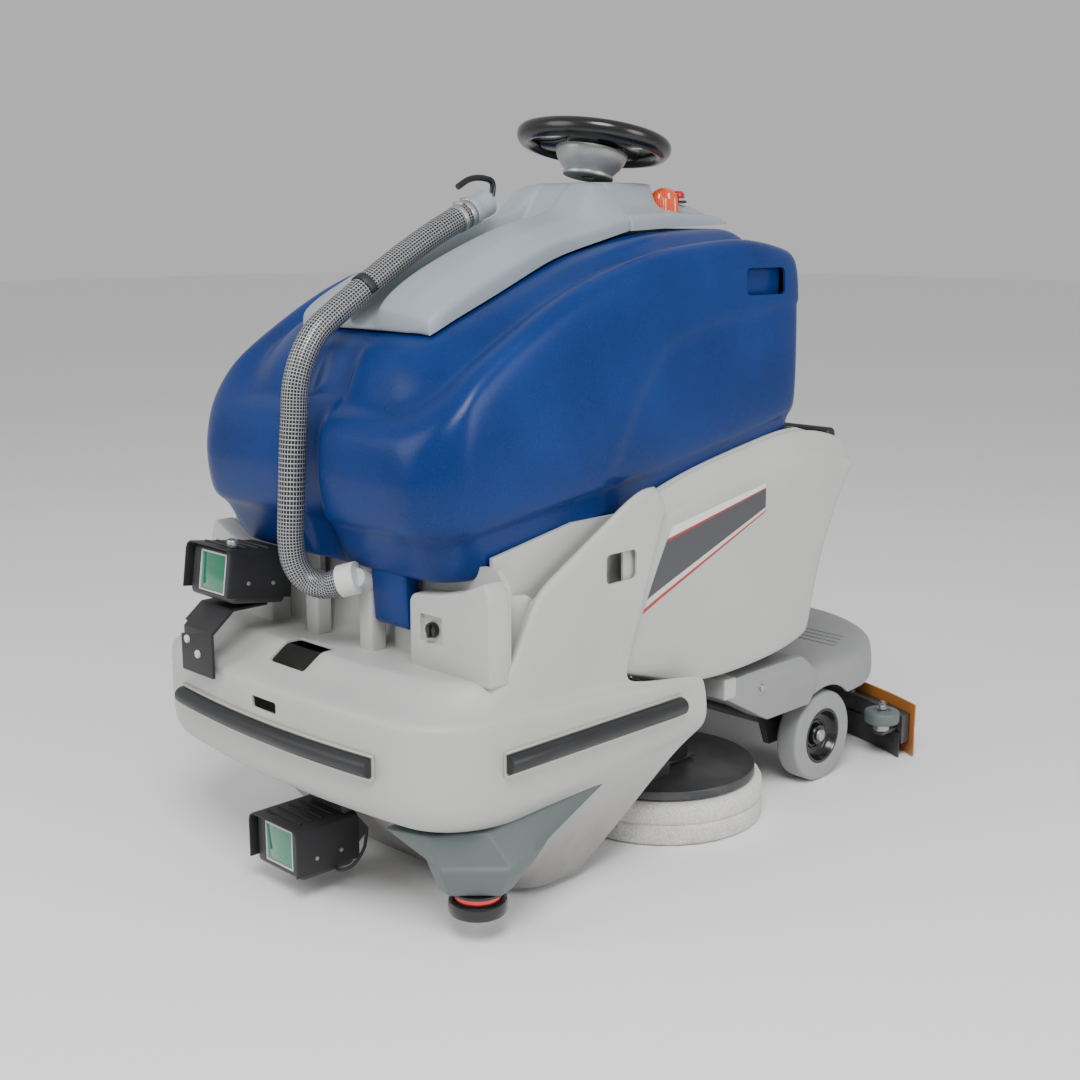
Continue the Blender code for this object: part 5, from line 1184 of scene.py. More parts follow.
def camera_brackets():
    """The bent foot of the upper camera and the arm of the lower one."""
    x, y, _ = UPPER_CAMERA
    foot = NOSE_Y - 0.004 - 0.0052
    outline = [(foot, 0.386), (foot + 0.0055, 0.386), (foot + 0.0055, 0.468), (y + 0.010, 0.5055),
               (y + 0.085, 0.5055), (y + 0.085, 0.5105), (y + 0.006, 0.5105), (foot, 0.473)]
    bracket = plate("upper_camera_bracket", outline, x - 0.051, x + 0.051, "YZ")
    cut(bracket, block("notch", (x - 0.060, foot - 0.02, 0.455), (x - 0.040, foot + 0.02, 0.480), 0.003))
    rounded(bracket, 0.0012, 2, 25)
    finish(bracket, "matte_black", "body")
    for place in ((x - 0.030, 0.448), (x + 0.004, 0.425)):
        screw = turned(f"bracket_screw_{place[0]:.3f}",
                       ((0.0, 0.0), (0.008, 0.0), (0.0075, 0.003), (0.004, 0.0045)),
                       (place[0], foot, place[1]), (0, -1, 0), 24)
        finish(screw, "pale_plastic", "body")
    knob = turned("camera_knob", ((0.0, 0.0), (0.010, 0.0), (0.011, 0.003), (0.011, 0.010), (0.009, 0.013),
                                  (0.0, 0.013)), (x + 0.040, y + 0.020, 0.626), (0.15, 0, 1), 32)
    finish(knob, "satin_steel", "body")
    x, y, z = LOWER_CAMERA
    outline = ((y + 0.110, z - 0.038), (-0.536, z + 0.004), (-0.602, 0.179), (-0.611, 0.179),
               (y + 0.110, z + 0.038))
    arm = rounded(plate("lower_camera_arm", outline, x - 0.040, x + 0.060, "YZ"), 0.0020, 2, 25)
    finish(arm, "frame_steel", "body")
    loop = tube("camera_lead", ((0.050, -0.600, 0.085), (0.062, -0.620, 0.060), (0.082, -0.628, 0.050),
                                (0.100, -0.610, 0.058), (0.104, -0.585, 0.085), (0.098, -0.572, 0.120)),
                0.0032, 10, 6)
    finish(loop, "matte_black", "body")


def scanner_pieces():
    """The scanner's stack of black rings with a slot in a painted red glow, below a faceted cover."""
    x, y = SCANNER_PLACE
    rings = turned("scanner_base", ((0.0, 0.045), (0.040, 0.045), (0.044, 0.046), (0.050, 0.0475),
                                    (0.052, 0.051), (0.052, 0.066), (0.0505, 0.0705), (0.046, 0.0735),
                                    (0.042, 0.0745), (0.0, 0.0745)), (x, y, 0), segments=64)
    finish(rings, "scanner_black", "body", ("laser_scanner",))
    # The slot's finish gives it a painted red glow
    slot = turned("scanner_slot", ((0.0, 0.0745), (0.0405, 0.0745), (0.0405, 0.0835), (0.0, 0.0835)),
                  (x, y, 0), segments=64)
    finish(slot, "red_glow", "body")
    crown = turned("scanner_crown", ((0.0, 0.0835), (0.043, 0.0835), (0.048, 0.0850), (0.048, 0.0898),
                                     (0.0, 0.0898)), (x, y, 0), segments=64)
    finish(crown, "scanner_black", "body")
    across, outwards = Vector((1, 1)).normalized(), Vector((1, -1)).normalized()
    rows = []
    # Left and right half widths across the corner, reach outwards, reach inwards, height
    levels = ((0.066, 0.058, 0.040, 0.050, 0.0905), (0.084, 0.076, 0.047, 0.060, 0.136),
              (0.088, 0.079, 0.040, 0.062, 0.146))
    for left, right, reach, back, z in levels:
        plan = ((-left, -back), (-left, 0.3 * reach), (-left * 0.72, reach), (right * 0.72, reach),
                (right, 0.3 * reach), (right, -back))
        points = [Vector((x, y)) + across * side + outwards * out for side, out in plan]
        if z > 0.100:
            # The far flank runs back along the side of the skirt
            points[4:] = Vector((0.449, -0.488)), Vector((0.404, -0.408))
        rows.append([(point.x, point.y, z) for point in points])
    rows.append([(0.236, -0.560, 0.190), (0.262, -0.664, 0.194), (0.352, -0.640, 0.198),
                 (0.411, -0.560, 0.200), (0.414, -0.440, 0.204), (0.404, -0.240, 0.212)])
    cover = drawn_out("scanner_hood", rows, closed=True, caps=(0, -1))
    rounded(cover, 0.004, 3, 8)
    finish(cover, "scanner_grey", "body", ("scanner_cover",), 30)


# ---- steering and dash

def rim_radius(angle):
    """The oval rim's radius: largest to the sides, least to the front and the rear."""
    return RIM_RADIUS * (1 - RIM_FLATNESS * (1 - math.cos(2 * angle)))


def column_pieces():
    """The satin cup on the console, and the collar it stands in."""
    axis, centre = STEERING_AXIS, STEERING_CENTRE
    base = centre - axis * 0.078
    base.z = PLATEAU_Z + 0.0003 + 0.048 * axis.y
    profile = ((0.013, 0.0), (0.0470, 0.0), (0.0475, 0.006), (0.0490, 0.009), (0.0545, 0.015),
               (0.0620, 0.023), (0.0680, 0.032), (0.0715, 0.040), (0.0732, 0.046), (0.0738, 0.050),
               (0.0735, 0.0535), (0.0710, 0.0550), (0.066, 0.0535), (0.040, 0.050), (0.013, 0.049))
    cup = turned("column_cup", profile, base, axis, 96, hollow=True)
    finish(cup, "satin_steel", "body", ("steering_column",), 40)
    collar = turned("column_collar", ((0.046, 0.0005), (0.0515, 0.0005), (0.0522, 0.002), (0.0515, 0.0060),
                                      (0.0490, 0.0068), (0.046, 0.0065)), base, axis, 96, hollow=True)
    finish(collar, "satin_steel", "body")


def steering_pieces():
    """The wheel with its thick oval rim, three spokes and a raised hub pad."""
    axis, centre = STEERING_AXIS, STEERING_CENTRE
    turn = axis.to_track_quat("Z", "Y").to_matrix()
    rows = []
    for step in range(96):
        angle = math.tau * step / 96
        radius = rim_radius(angle)
        way = turn @ Vector((math.cos(angle), math.sin(angle), 0))
        row = []
        for side in range(20):
            a = math.tau * side / 20
            rise = 0.01675 if math.sin(a) > 0 else 0.0225
            row.append(centre + way * (radius + 0.0180 * math.cos(a)) + axis * rise * math.sin(a))
        rows.append(row)
    rows.append(rows[0])
    rim = drawn_out("wheel_rim", rows, closed=True)
    pad = turned("hub_pad", ((0.0, -0.020), (0.030, -0.020), (0.048, -0.018), (0.058, -0.006), (0.061, 0.010),
                             (0.058, 0.020), (0.048, 0.026), (0.026, 0.030), (0.0, 0.031)), centre, axis, 64)
    shaft = rod("wheel_shaft", centre - axis * 0.072, centre - axis * 0.012, 0.0108, segments=32)
    pieces = [rim, pad, shaft]
    for index, angle in enumerate((0.0, math.pi, -math.pi / 2)):
        way = turn @ Vector((math.cos(angle), math.sin(angle), 0))
        side = axis.cross(way)
        reach = rim_radius(angle)
        spoke_rows = []
        for share in (0.0, 0.15, 0.35, 0.6, 0.85, 1.0):
            half = along(((0.0, 0.048), (0.35, 0.036), (0.6, 0.032), (1.0, 0.044)), share)
            thick = along(((0.0, 0.016), (0.5, 0.0125), (1.0, 0.0135)), share)
            dip = along(((0.0, 0.002), (0.5, -0.003), (1.0, 0.0)), share)
            middle = centre + way * between(0.025, reach, share) + axis * dip
            spoke_rows.append([middle + side * half * math.cos(a) + axis * thick * math.sin(a)
                               for a in (math.tau * step / 16 for step in range(16))])
        pieces.append(smooth(drawn_out(f"spoke_{index}", spoke_rows, closed=True, caps=(0, -1)), 1))
    wheel = joined("wheel_finished", *pieces)
    finish(wheel, "gloss_black", "steering_wheel", ("steering_wheel",), 50)


def beacon_pieces():
    """The orange lens with upright ribs, on a grey foot."""
    x, y, z = BEACON_PLACE
    rows = []
    for radius, height, rib in ((0.0298, 0.014, 1), (0.0298, 0.018, 1), (0.0296, 0.032, 1),
                                (0.0282, 0.043, 1), (0.0250, 0.053, 0.8), (0.0195, 0.0605, 0.5),
                                (0.0110, 0.0652, 0.1), (0.0040, 0.0668, 0)):
        row = []
        for step in range(144):
            angle = math.tau * step / 144
            reach = radius - 0.0011 * rib * (0.5 + 0.5 * math.cos(angle * 36))
            row.append((x + reach * math.cos(angle), y + reach * math.sin(angle), z + height))
        rows.append(row)
    lens = drawn_out("beacon_lens", rows, closed=True, caps=(0, -1))
    finish(lens, "orange_lens", "body", ("beacon",), 25)
    foot = turned("beacon_foot", ((0.0, 0.0), (0.0235, 0.0), (0.0235, 0.010), (0.0292, 0.012),
                                  (0.0296, 0.0145), (0.0, 0.0145)), (x, y, z), segments=64)
    finish(foot, "matte_black", "body")


def button_pieces():
    """The stop button's mushroom and the start button's cap."""
    for name, look in (("emergency_stop", "button_red"), ("start_button", "button_green")):
        button = rounded(merged_copy(name), 0.0016, 3, 25)
        finish(button, look, name, (name,), 50)


# ---- hose

def hose_pieces():
    """The braided hose in three lengths, which bend over the lid's hinge, with its clamps, cap, lever and
    strap."""
    route = smooth_route(HOSE_ROUTE, 3)
    bend_start, bend_end = 22, 40
    splits = {"low": (0, bend_start), "bend": (bend_start, bend_end), "high": (bend_end, len(route) - 1)}
    run = 0.0
    for name, (start, end) in splits.items():
        points = route[start:end + 1]
        piece = tube(f"hose_{name}", points, sizes().hose_radius - 0.0005, 24, 2)
        length = sum((b - a).length for a, b in zip(points, points[1:]))
        for entry in piece.data.uv_layers.active.data:
            entry.uv.y += run
        run += length
        if name == "bend":
            finish(piece, "hose_braid", None, ("drain_hose_bend",), 60)
            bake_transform(piece)
        else:
            finish(piece, "hose_braid", "body" if name == "low" else "lid",
                   (f"drain_hose_{name}",), 60)
    tip, before = Vector(HOSE_ROUTE[-1]), Vector(HOSE_ROUTE[-2])
    way = (tip - before).normalized()
    for offset in (-0.034, -0.014):
        profile = ((0.0240, 0.0), (0.0264, 0.0004), (0.0268, 0.0020), (0.0264, 0.0095), (0.0240, 0.0100))
        band = turned(f"hose_clamp_{offset}", profile, tip + way * offset, way, 48, hollow=True)
        ends = [tip + way * (offset + 0.005) + Vector((x, 0, 0.027)) for x in (-0.012, 0.010)]
        screw = rod("clamp_screw", *ends, 0.0042, segments=16, round_by=0.0005)
        finish(joined(f"hose_clamp_{offset}", band, screw), "satin_steel", "lid")
    cap = turned("cap_collar", ((0.0, 0.0003), (0.0262, 0.0003), (0.0272, 0.003), (0.0272, 0.013),
                                (0.0255, 0.016), (0.0250, 0.020), (0.0255, 0.036), (0.0262, 0.040),
                                (0.0255, 0.050), (0.0235, 0.052), (0.0, 0.052)), tip, way, 64)
    finish(cap, "lid_cool_grey", "lid", ("hose_cap",), 40)
    end = tip + way * 0.054
    path = (end + way * 0.006, end + way * 0.013 + Vector((0, 0, 0.014)),
            end + way * 0.010 + Vector((0, 0, 0.034)), end + Vector((0, -0.020, 0.044)),
            end + Vector((0, -0.050, 0.040)), end + Vector((0, -0.078, 0.026)))
    lever = tube("cap_lever_bar", path, 0.0060, 16, 6)
    finish(lever, "gloss_black", "cap_lever", ("hose_cap_lever",), 60)
    clip_rows = []
    for step in range(25):
        angle = math.radians(between(-20, 200, step / 24))
        out = Vector((math.cos(angle), 0, 0)) + Vector((0, -0.5, 0.86)) * math.sin(angle)
        at = Vector((0.0, -0.470, 1.096))
        edge = Vector((0, 0.86, 0.5)) * 0.008
        clip_rows.append([at + out * 0.0246 - edge, at + out * 0.0266 - edge, at + out * 0.0266 + edge,
                          at + out * 0.0246 + edge])
    strap = drawn_out("hose_strap", clip_rows, closed=True, caps=(0, -1))
    finish(rounded(strap, 0.0006, 2, 50), "matte_black", "lid")
    outlet = merged_copy("drain_outlet")
    finish(rounded(outlet, 0.0015, 3, 50), "pale_plastic", "body", ("drain_outlet",), 50)


# ---- wheels, platform

def wheel_pieces():
    """The rear wheels: ribbed grey tyres on black dished hubs with a silver cap."""
    for side, name in ((1, "left"), (-1, "right")):
        centre = (0, REAR_AXLE_Y, WHEEL_CENTRE_Z)
        inner, outer = 0.3105, 0.3645
        profile = ((0.062, inner), (0.080, inner), (0.095, inner + 0.0005), (0.0985, inner + 0.002),
                   (0.1006, inner + 0.005), (0.1010, inner + 0.010), (0.1010, outer - 0.010),
                   (0.1006, outer - 0.005), (0.0985, outer - 0.002), (0.095, outer - 0.0005), (0.086, outer),
                   (0.083, outer - 0.0008), (0.080, outer), (0.066, outer), (0.062, outer - 0.001))
        tyre = turned(f"{name}_tyre_piece", profile, centre, (side, 0, 0), 96, hollow=True)
        finish(tyre, "grey_tyre", f"{name}_wheel", (f"{name}_tyre",), 40)
        hub_profile = ((0.0115, inner + 0.004), (0.0615, inner + 0.004), (0.0615, outer - 0.003),
                       (0.0600, outer - 0.001), (0.0560, outer - 0.001), (0.0545, outer - 0.004),
                       (0.0520, outer - 0.012), (0.0470, outer - 0.020), (0.0440, outer - 0.022),
                       (0.0340, outer - 0.022), (0.0320, outer - 0.019), (0.0300, outer - 0.019),
                       (0.0280, outer - 0.022), (0.0255, outer - 0.022), (0.0230, outer - 0.012),
                       (0.0215, outer - 0.010), (0.0115, outer - 0.010))
        hub = turned(f"{name}_hub_piece", hub_profile, centre, (side, 0, 0), 96, hollow=True)
        finish(hub, "gloss_black", f"{name}_wheel", (f"{name}_hub",), 35)
        cap = turned(f"{name}_axle_cap", ((0.0, outer - 0.0095), (0.0130, outer - 0.0095),
                                          (0.0140, outer - 0.007), (0.0125, outer - 0.003),
                                          (0.006, outer - 0.001), (0.0, outer - 0.0008)), centre,
                     (side, 0, 0), 48)
        finish(cap, "satin_steel", f"{name}_wheel")
    tyre = rounded(merged_copy("drive_tyre"), 0.004, 3, 20)
    finish(tyre, "grey_tyre", "drive_wheel", ("drive_tyre",), 40)
    hub = rounded(merged_copy("drive_hub"), 0.002, 2, 30)
    finish(hub, "frame_steel", "drive_wheel", ("drive_hub",), 40)


def wheel_arch(side):
    """The cylinder that clears a rear wheel."""
    ends = [(side * x, REAR_AXLE_Y, WHEEL_CENTRE_Z) for x in (0.298, 0.420)]
    return rod("arch", *ends, ARCH_RADIUS, segments=96)


def platform_deck():
    """The platform's deck with its rounded edge, wheel arches and treads."""
    half, front, rear = PLATFORM_HALF, PLATFORM_FRONT_Y, PLATFORM_REAR_Y
    rows = []
    for inset, z in ((0.0, 0.187), (0.0, 0.191), (0.001, 0.215), (0.003, 0.234), (0.006, 0.245),
                     (0.013, 0.254), (0.022, 0.259), (0.033, 0.2614), (0.050, PLATFORM_Z)):
        plan = [(0.0, front + inset), (0.20, front + inset), (half - inset - 0.012, front + inset),
                (half - inset, front + inset + 0.012), (half - inset, 0.540), (half - inset - 0.001, 0.610),
                (0.360 - inset, 0.665 - inset * 0.2), (0.338 - inset, 0.715 - inset * 0.4),
                (0.288 - inset, 0.803 - inset * 0.7), (0.250 - inset * 0.8, 0.845 - inset * 0.9),
                (0.205 - inset * 0.7, 0.880 - inset), (0.110, 0.924 - inset), (0.0, rear - 0.001 - inset)]
        rows.append(closed_row([(x, y, z) for x, y in plan]))
    deck = walled(smooth(drawn_out("platform_deck", rows, closed=True, caps=(-1,))), 0.006)
    tools = []
    for side in (-1, 1):
        tools.append(wheel_arch(side))
        for step in range(4):
            y = 0.640 + 0.026 * step
            x = along(((0.600, 0.300), (0.720, 0.255)), y)
            low, high = span(side, x - 0.150, x)
            tools.append(block("tread", (low, y, 0.2595), (high, y + 0.009, 0.275), 0.0015))
    cut(deck, *tools)
    finish(rounded(deck, 0.0015, 2, 40), "platform_grey", "body", ("platform",), 45)


def platform_arms():
    """The arms that carry the platform, with a bolt, an end box and a gusset each."""
    outline = ((0.131, 0.270), (0.262, 0.200), (0.275, 0.193), (0.425, 0.193), (0.440, 0.215), (0.452, 0.240),
               (0.452, 0.256), (0.415, 0.290), (0.390, 0.3065), (0.375, 0.3078), (0.205, 0.3078),
               (0.140, 0.305), (0.131, 0.300))
    for side in (-1, 1):
        arm = plate(f"platform_arm_{side}", outline, *span(side, 0.313, 0.3735), "YZ")
        cut(arm, wheel_arch(side))
        rounded(arm, 0.005, 3, 20)
        finish(arm, "platform_grey", "body", (), 40)
        finish(bolt(f"arm_bolt_{side}", (side * 0.3735, 0.250, 0.268), (side, 0, 0), 0.0095, 0.0048),
               "satin_steel", "body")
        low, high = span(side, 0.318, 0.3740)
        end_box = block(f"arm_end_{side}", (low, 0.128, 0.266), (high, 0.166, 0.3095), 0.004, 3)
        finish(end_box, "body_light_grey", "body")
        gusset = plate(f"body_gusset_{side}",
                       ((0.205, 0.338), (0.252, 0.362), (0.252, 0.326), (0.205, 0.322)),
                       *span(side, 0.360, 0.3665), "YZ")
        finish(rounded(gusset, 0.001, 2, 30), "frame_steel", "body")


def standing_place_pieces():
    """The pedal with its ribs, and the roll the operator's thighs lean on."""
    pedal = rounded(merged_copy("drive_pedal"), 0.002, 3, 25)
    ribs = [block("pedal_rib", (0.085, near, 0.0), (0.175, near + 0.006, 0.0025), 0.0008)
            for near in (0.525, 0.543, 0.561, 0.579)]
    for step, rib in enumerate(ribs):
        top = along(((0.510, 0.2940), (0.606, 0.2780)), 0.528 + 0.018 * step)
        rib.data.transform(Matrix.Translation((0, 0, top - 0.001)))
    finish(joined("pedal_piece", pedal, *ribs), "black_rubber", "drive_pedal",
           ("drive_pedal",), 40)
    pad_y, pad_z = 0.578, along(REAR_TOP[-2:], 0.578) + 0.018
    roll = tube("thigh_roll", ((-0.299, pad_y, pad_z), (-0.150, pad_y, pad_z), (0.150, pad_y, pad_z),
                               (0.299, pad_y, pad_z)), 0.0160, 24, 2)
    finish(rounded(roll, 0.004, 3, 50), "black_rubber", "body", ("thigh_pad",), 50)


# ---- brushes, squeegee

def brush_pieces():
    """Each disc brush: a two-layer fibre pad on a drive plate, under a steel cover with a turned-down rim."""
    y = BRUSH_PLACE[1]
    for side, name in ((1, "left"), (-1, "right")):
        x = side * BRUSH_PLACE[0]
        layers = ((0.060, 0.002), (0.208, 0.0005), (0.213, 0.003), (0.2148, 0.008), (0.2148, 0.036),
                  (0.2135, 0.0405), (0.2095, 0.0425), (0.2115, 0.0445), (0.2140, 0.049), (0.2140, 0.074),
                  (0.2110, 0.0815), (0.200, 0.0850), (0.060, 0.0850))
        pad = turned(f"{name}_pad", layers, (x, y, 0), segments=160, hollow=True)
        centre = Vector((x, y, 0))
        for vert in pad.data.vertices:
            out = vert.co - centre
            angle = math.atan2(out.y, out.x)
            fray = 0.0008 * math.sin(angle * 31 + vert.co.z * 160) + 0.0006 * math.sin(angle * 67)
            if out.xy.length > 0.20:
                vert.co.xy -= out.xy.normalized() * (fray + 0.0012)
        finish(pad, "white_pad", f"{name}_brush", (f"{name}_brush",), 60)
        holder = ((0.018, 0.0853), (0.1700, 0.0853), (0.1710, 0.0855), (0.1710, 0.0860), (0.1700, 0.0862),
                  (0.018, 0.0862), (0.018, 0.1195), (0.006, 0.1195), (0.006, 0.0853))
        finish(turned(f"{name}_holder", holder, (x, y, 0), segments=96, hollow=True), "matte_black",
               f"{name}_brush")
        cover_profile = ((0.021, 0.104), (0.190, 0.104), (0.1925, 0.1025), (0.193, 0.091), (0.1945, 0.090),
                         (0.1968, 0.091), (0.1970, 0.104), (0.1955, 0.1072), (0.192, 0.1080), (0.120, 0.1080),
                         (0.116, 0.1080), (0.021, 0.1080))
        cover = turned(f"{name}_cover", cover_profile, (x, y, 0), segments=128, hollow=True)
        finish(cover, "frame_steel", "brush_deck", (f"{name}_brush_cover",), 35)
        motor = rounded(merged_copy(f"{name}_brush_motor"), 0.002, 2, 30)
        finish(motor, "matte_black", "brush_deck", (f"{name}_brush_motor",), 40)
        for step, forward in enumerate((-0.110, -0.082)):
            finish(bolt(f"deck_bolt_{name}_{step}", (side * 0.265, y + forward, 0.138), (0, 0, 1), 0.0075,
                        0.005), "satin_steel", "brush_deck")
    finish(rounded(merged_copy("deck_bridge"), 0.0020, 2, 40), "frame_steel", "brush_deck",
           ("deck_bridge",), 35)


def bow_y(x):
    """The squeegee's centre line."""
    return SQUEEGEE_Y - SQUEEGEE_BOW * (x / SQUEEGEE_HALF) ** 2


def bowed(name, offset, thickness, reach, section):
    """A bar bent along the squeegee's bow. section is (share of the thickness, height) pairs."""
    rows = []
    for step in range(49):
        x = between(-reach, reach, step / 48)
        y = bow_y(x) + offset
        rows.append([(x, y + thickness * share, z) for share, z in section])
    return drawn_out(name, rows, closed=True, caps=(0, -1))


def squeegee_pieces():
    """The steel bar between an amber rear blade and a black front blade, with its bolts and end rollers."""
    section = ((0, 0.001), (1, 0.001), (1, 0.060), (0.7, 0.064), (0.7, 0.070), (1, 0.074), (1, 0.124),
               (0.5, 0.125), (0, 0.124))
    rear = bowed("rear_blade", 0.0343, 0.0058, 0.430, section)
    finish(rounded(rear, 0.0008, 2, 60), "amber_rubber", "squeegee", ("squeegee_rear_blade",),
           40)
    front = bowed("front_blade", -0.0062, 0.0058, 0.410, ((0, 0.001), (1, 0.001), (1, 0.060), (0, 0.060)))
    finish(rounded(front, 0.0008, 2, 60), "black_rubber", "squeegee",
           ("squeegee_front_blade",), 40)
    bar = rounded(merged_copy("squeegee_bar"), 0.0012, 2, 40)
    finish(bar, "frame_steel", "squeegee", ("squeegee_bar",), 35)
    for index in range(-3, 4):
        x = index * 0.110
        finish(bolt(f"bar_bolt_{index}", (x, bow_y(x) + 0.017, 0.100), (0, 0, 1), 0.0075, 0.0055),
               "satin_steel", "squeegee")
    for side, name in ((1, "left"), (-1, "right")):
        centre = (side * ROLLER_PLACE[0], *ROLLER_PLACE[1:])
        profile = ((0.0066, -0.0155), (0.0345, -0.0155), (0.0385, -0.0130), (0.0398, -0.0090),
                   (0.0398, 0.0085), (0.0380, 0.0120), (0.0345, 0.0136), (0.0200, 0.0136), (0.0180, 0.0105),
                   (0.0110, 0.0105), (0.0100, 0.0135), (0.0066, 0.0135))
        roller = turned(f"{name}_roller_piece", profile, centre, (0, 0, 1), 72, hollow=True)
        finish(roller, "scanner_grey", f"{name}_roller", (f"{name}_squeegee_roller",), 40)
        nut = bolt(f"{name}_roller_bolt", (*centre[:2], 0.1225), (0, 0, 1), 0.0082, 0.0065)
        cup_profile = ((0.0065, 0.0705), (0.0150, 0.0705), (0.0185, 0.0740), (0.0185, 0.0870),
                       (0.0065, 0.0870))
        cup = turned(f"{name}_roller_cup", cup_profile, (*centre[:2], 0), (0, 0, 1), 40, hollow=True)
        finish(joined(f"{name}_roller_fittings", nut, cup), "satin_steel", "squeegee")


def inner_pieces():
    """Finishes for the parts that stay as the frame has them."""
    looks = {"chassis_frame": "frame_steel", "rear_axle": "satin_steel", "left_battery": "matte_black",
             "right_battery": "matte_black", "control_box": "charcoal_housing",
             "suction_motor": "matte_black",
             "steering_gearmotor": "frame_steel", "drive_fork": "frame_steel",
             "traction_motor": "charcoal_housing"}
    for name, look in looks.items():
        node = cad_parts[name]
        node.data.materials.clear()
        node.data.materials.append(finishes()[look])


# ---- stage

def stage_pieces():
    """A pale floor, soft lights and a pale sky."""
    setting = bpy.context.scene.stage_settings
    deselect()
    bpy.ops.mesh.primitive_plane_add(size=60, location=(0, 0, -0.0005))
    floor = bpy.context.object
    floor.name = "floor"
    paper, _, shader = material("studio_floor")
    shader.inputs["Base Color"].default_value = (*setting.floor, 1.0)
    shader.inputs["Roughness"].default_value = 0.85
    shader.inputs["Specular IOR Level"].default_value = 0.1
    floor.data.materials.append(paper)
    lights = (("key_light", (2.4, -2.6, 4.4), 2.4, 210), ("front_light", (-1.8, -4.2, 2.8), 3.0, 70),
              ("side_light", (5.0, 0.6, 2.4), 2.6, 90))
    for name, place, size, power in lights:
        turn = (Vector((0, 0, 0.6)) - Vector(place)).to_track_quat("-Z", "Y").to_euler()
        bpy.ops.object.light_add(type="AREA", radius=size, location=place, rotation=turn)
        lamp = bpy.context.object
        lamp.name = name
        lamp.data.shape = "DISK"
        lamp.data.size = size
        lamp.data.energy = power
    world = bpy.context.scene.world or bpy.data.worlds.new("studio")
    bpy.context.scene.world = world
    world.use_nodes = True
    world.node_tree.nodes["Background"].inputs["Color"].default_value = (1.0, 1.0, 1.0, 1.0)
    world.node_tree.nodes["Background"].inputs["Strength"].default_value = 0.55


def stage_camera():
    """The camera, which looks down on the front left corner."""
    setting = bpy.context.scene.stage_settings
    bpy.ops.object.camera_add(location=CAMERA_LOCATION,
                              rotation=(math.pi / 2 - setting.pitch, 0.0, setting.azimuth))
    camera = bpy.context.object
    camera.data.lens = setting.lens
    camera.data.sensor_width = 36.0
    bpy.context.scene.camera = camera


# ---- operators

class StageOperator(bpy.types.Operator):
    """Sets up the floor, the lights and the camera"""

    bl_idname = "scrubber.stage"
    bl_label = "Stage and camera"

    def execute(self, context):
        stage_camera()
        stage_pieces()
        return {"FINISHED"}


class BodyOperator(bpy.types.Operator):
    """Models the grey bodies with their ears, bumpers and printed panels"""

    bl_idname = "scrubber.body"
    bl_label = "Grey bodies and bumpers"

    def execute(self, context):
        front_shell()
        for side in (-1, 1):
            ear(side)
            cradle(side)
        rear_shell()
        decals()
        bumper_pieces()
        return {"FINISHED"}


class TankOperator(bpy.types.Operator):
    """Models the recovery tank"""

    bl_idname = "scrubber.tank"
    bl_label = "Recovery tank"

    def execute(self, context):
        tank_shell()
        return {"FINISHED"}


class LidOperator(bpy.types.Operator):
    """Models the lid and the console with its dash"""

    bl_idname = "scrubber.lid"
    bl_label = "Lid and console"

    def execute(self, context):
        lid_shell()
        console_shell()
        button_pieces()
        return {"FINISHED"}


class HoseOperator(bpy.types.Operator):
    """Models the braided drain hose with its cap, lever and clamps"""

    bl_idname = "scrubber.hose"
    bl_label = "Drain hose"

    def execute(self, context):
        hose_pieces()
        return {"FINISHED"}


class SteeringOperator(bpy.types.Operator):
    """Models the steering wheel, its column and the beacon"""

    bl_idname = "scrubber.steering"
    bl_label = "Steering and beacon"

    def execute(self, context):
        column_pieces()
        steering_pieces()
        beacon_pieces()
        return {"FINISHED"}


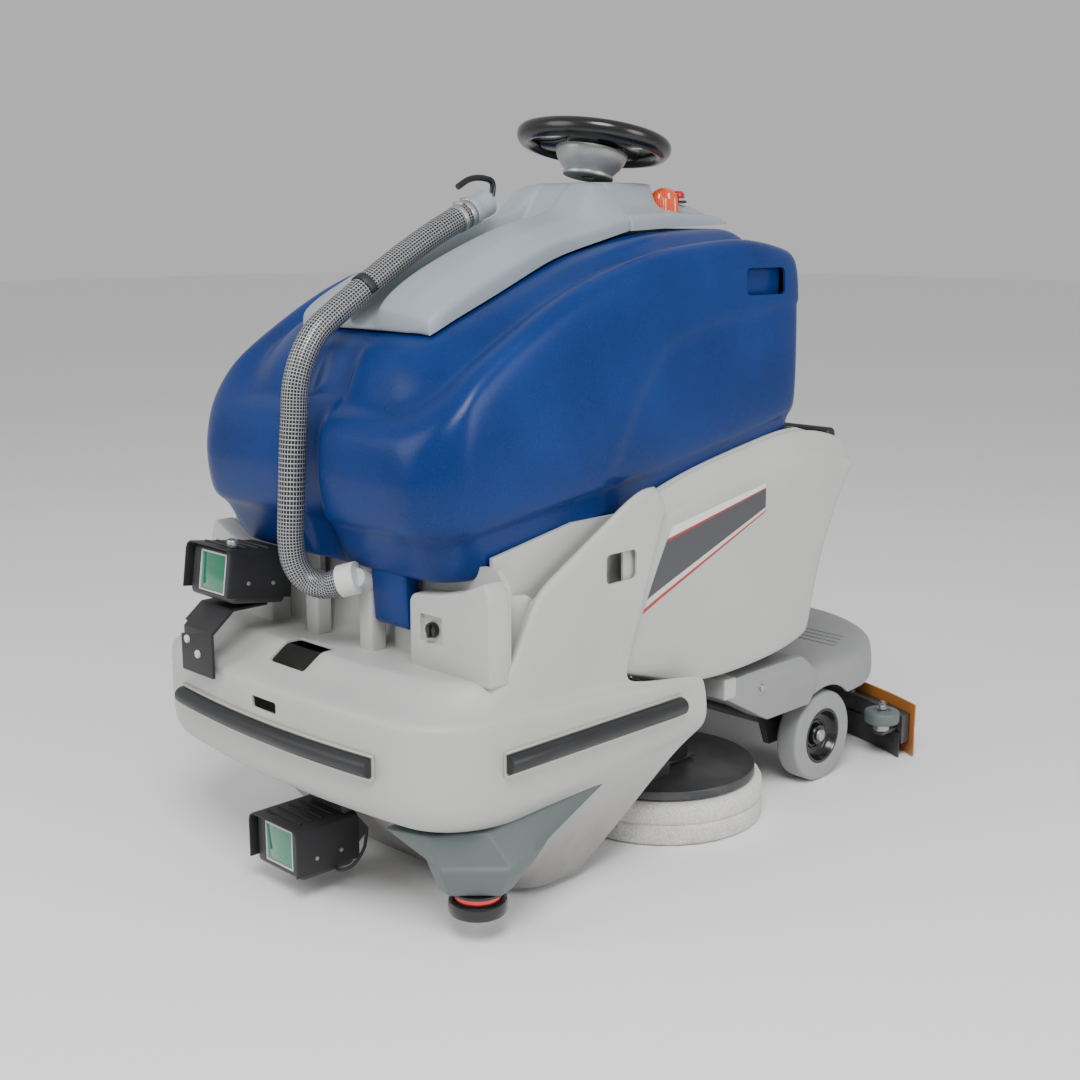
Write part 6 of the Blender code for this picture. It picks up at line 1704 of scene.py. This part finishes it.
class SensorOperator(bpy.types.Operator):
    """Models the two cameras and the laser scanner"""

    bl_idname = "scrubber.sensors"
    bl_label = "Cameras and scanner"

    def execute(self, context):
        camera_pieces("upper_camera", UPPER_CAMERA, math.radians(-8))
        camera_pieces("lower_camera", LOWER_CAMERA, 0.0)
        camera_brackets()
        scanner_pieces()
        return {"FINISHED"}


class RunningGearOperator(bpy.types.Operator):
    """Models the wheels, platform, pedal and thigh pad"""

    bl_idname = "scrubber.running_gear"
    bl_label = "Wheels and platform"

    def execute(self, context):
        wheel_pieces()
        platform_deck()
        platform_arms()
        standing_place_pieces()
        inner_pieces()
        return {"FINISHED"}


class CleaningOperator(bpy.types.Operator):
    """Models the disc brushes and the squeegee"""

    bl_idname = "scrubber.cleaning"
    bl_label = "Brushes and squeegee"

    def execute(self, context):
        brush_pieces()
        squeegee_pieces()
        return {"FINISHED"}


class ScrubberPanel(bpy.types.Panel):
    """Lists the steps in the sidebar"""

    bl_idname = "VIEW3D_PT_scrubber"
    bl_label = "Scrubber"
    bl_space_type = "VIEW_3D"
    bl_region_type = "UI"
    bl_category = "Scrubber"

    def draw(self, context):
        layout = self.layout
        for group in (context.scene.scrubber_sizes, context.scene.scrubber_colours,
                      context.scene.stage_settings):
            for name in group.bl_rna.properties.keys():
                if name not in ("rna_type", "name"):
                    layout.prop(group, name)
        for operator in OPERATORS:
            layout.operator(operator.bl_idname)


OPERATORS = (StageOperator, BodyOperator, TankOperator, LidOperator, HoseOperator, SteeringOperator,
             SensorOperator, RunningGearOperator, CleaningOperator)
SETTINGS = (("scrubber_sizes", ScrubberSizes), ("scrubber_colours", ScrubberColours),
            ("stage_settings", StageSettings))


def register():
    for one in (*[group for name, group in SETTINGS], *OPERATORS, ScrubberPanel):
        bpy.utils.register_class(one)
    for name, group in SETTINGS:
        setattr(bpy.types.Scene, name, PointerProperty(type=group))


def unregister():
    for name, group in SETTINGS:
        delattr(bpy.types.Scene, name)
    for one in (ScrubberPanel, *reversed(OPERATORS), *[group for name, group in reversed(SETTINGS)]):
        bpy.utils.unregister_class(one)


def main():
    register()
    for operator in OPERATORS:
        prefix, name = operator.bl_idname.split(".")
        getattr(getattr(bpy.ops, prefix), name)()


if __name__ == "__main__":
    main()
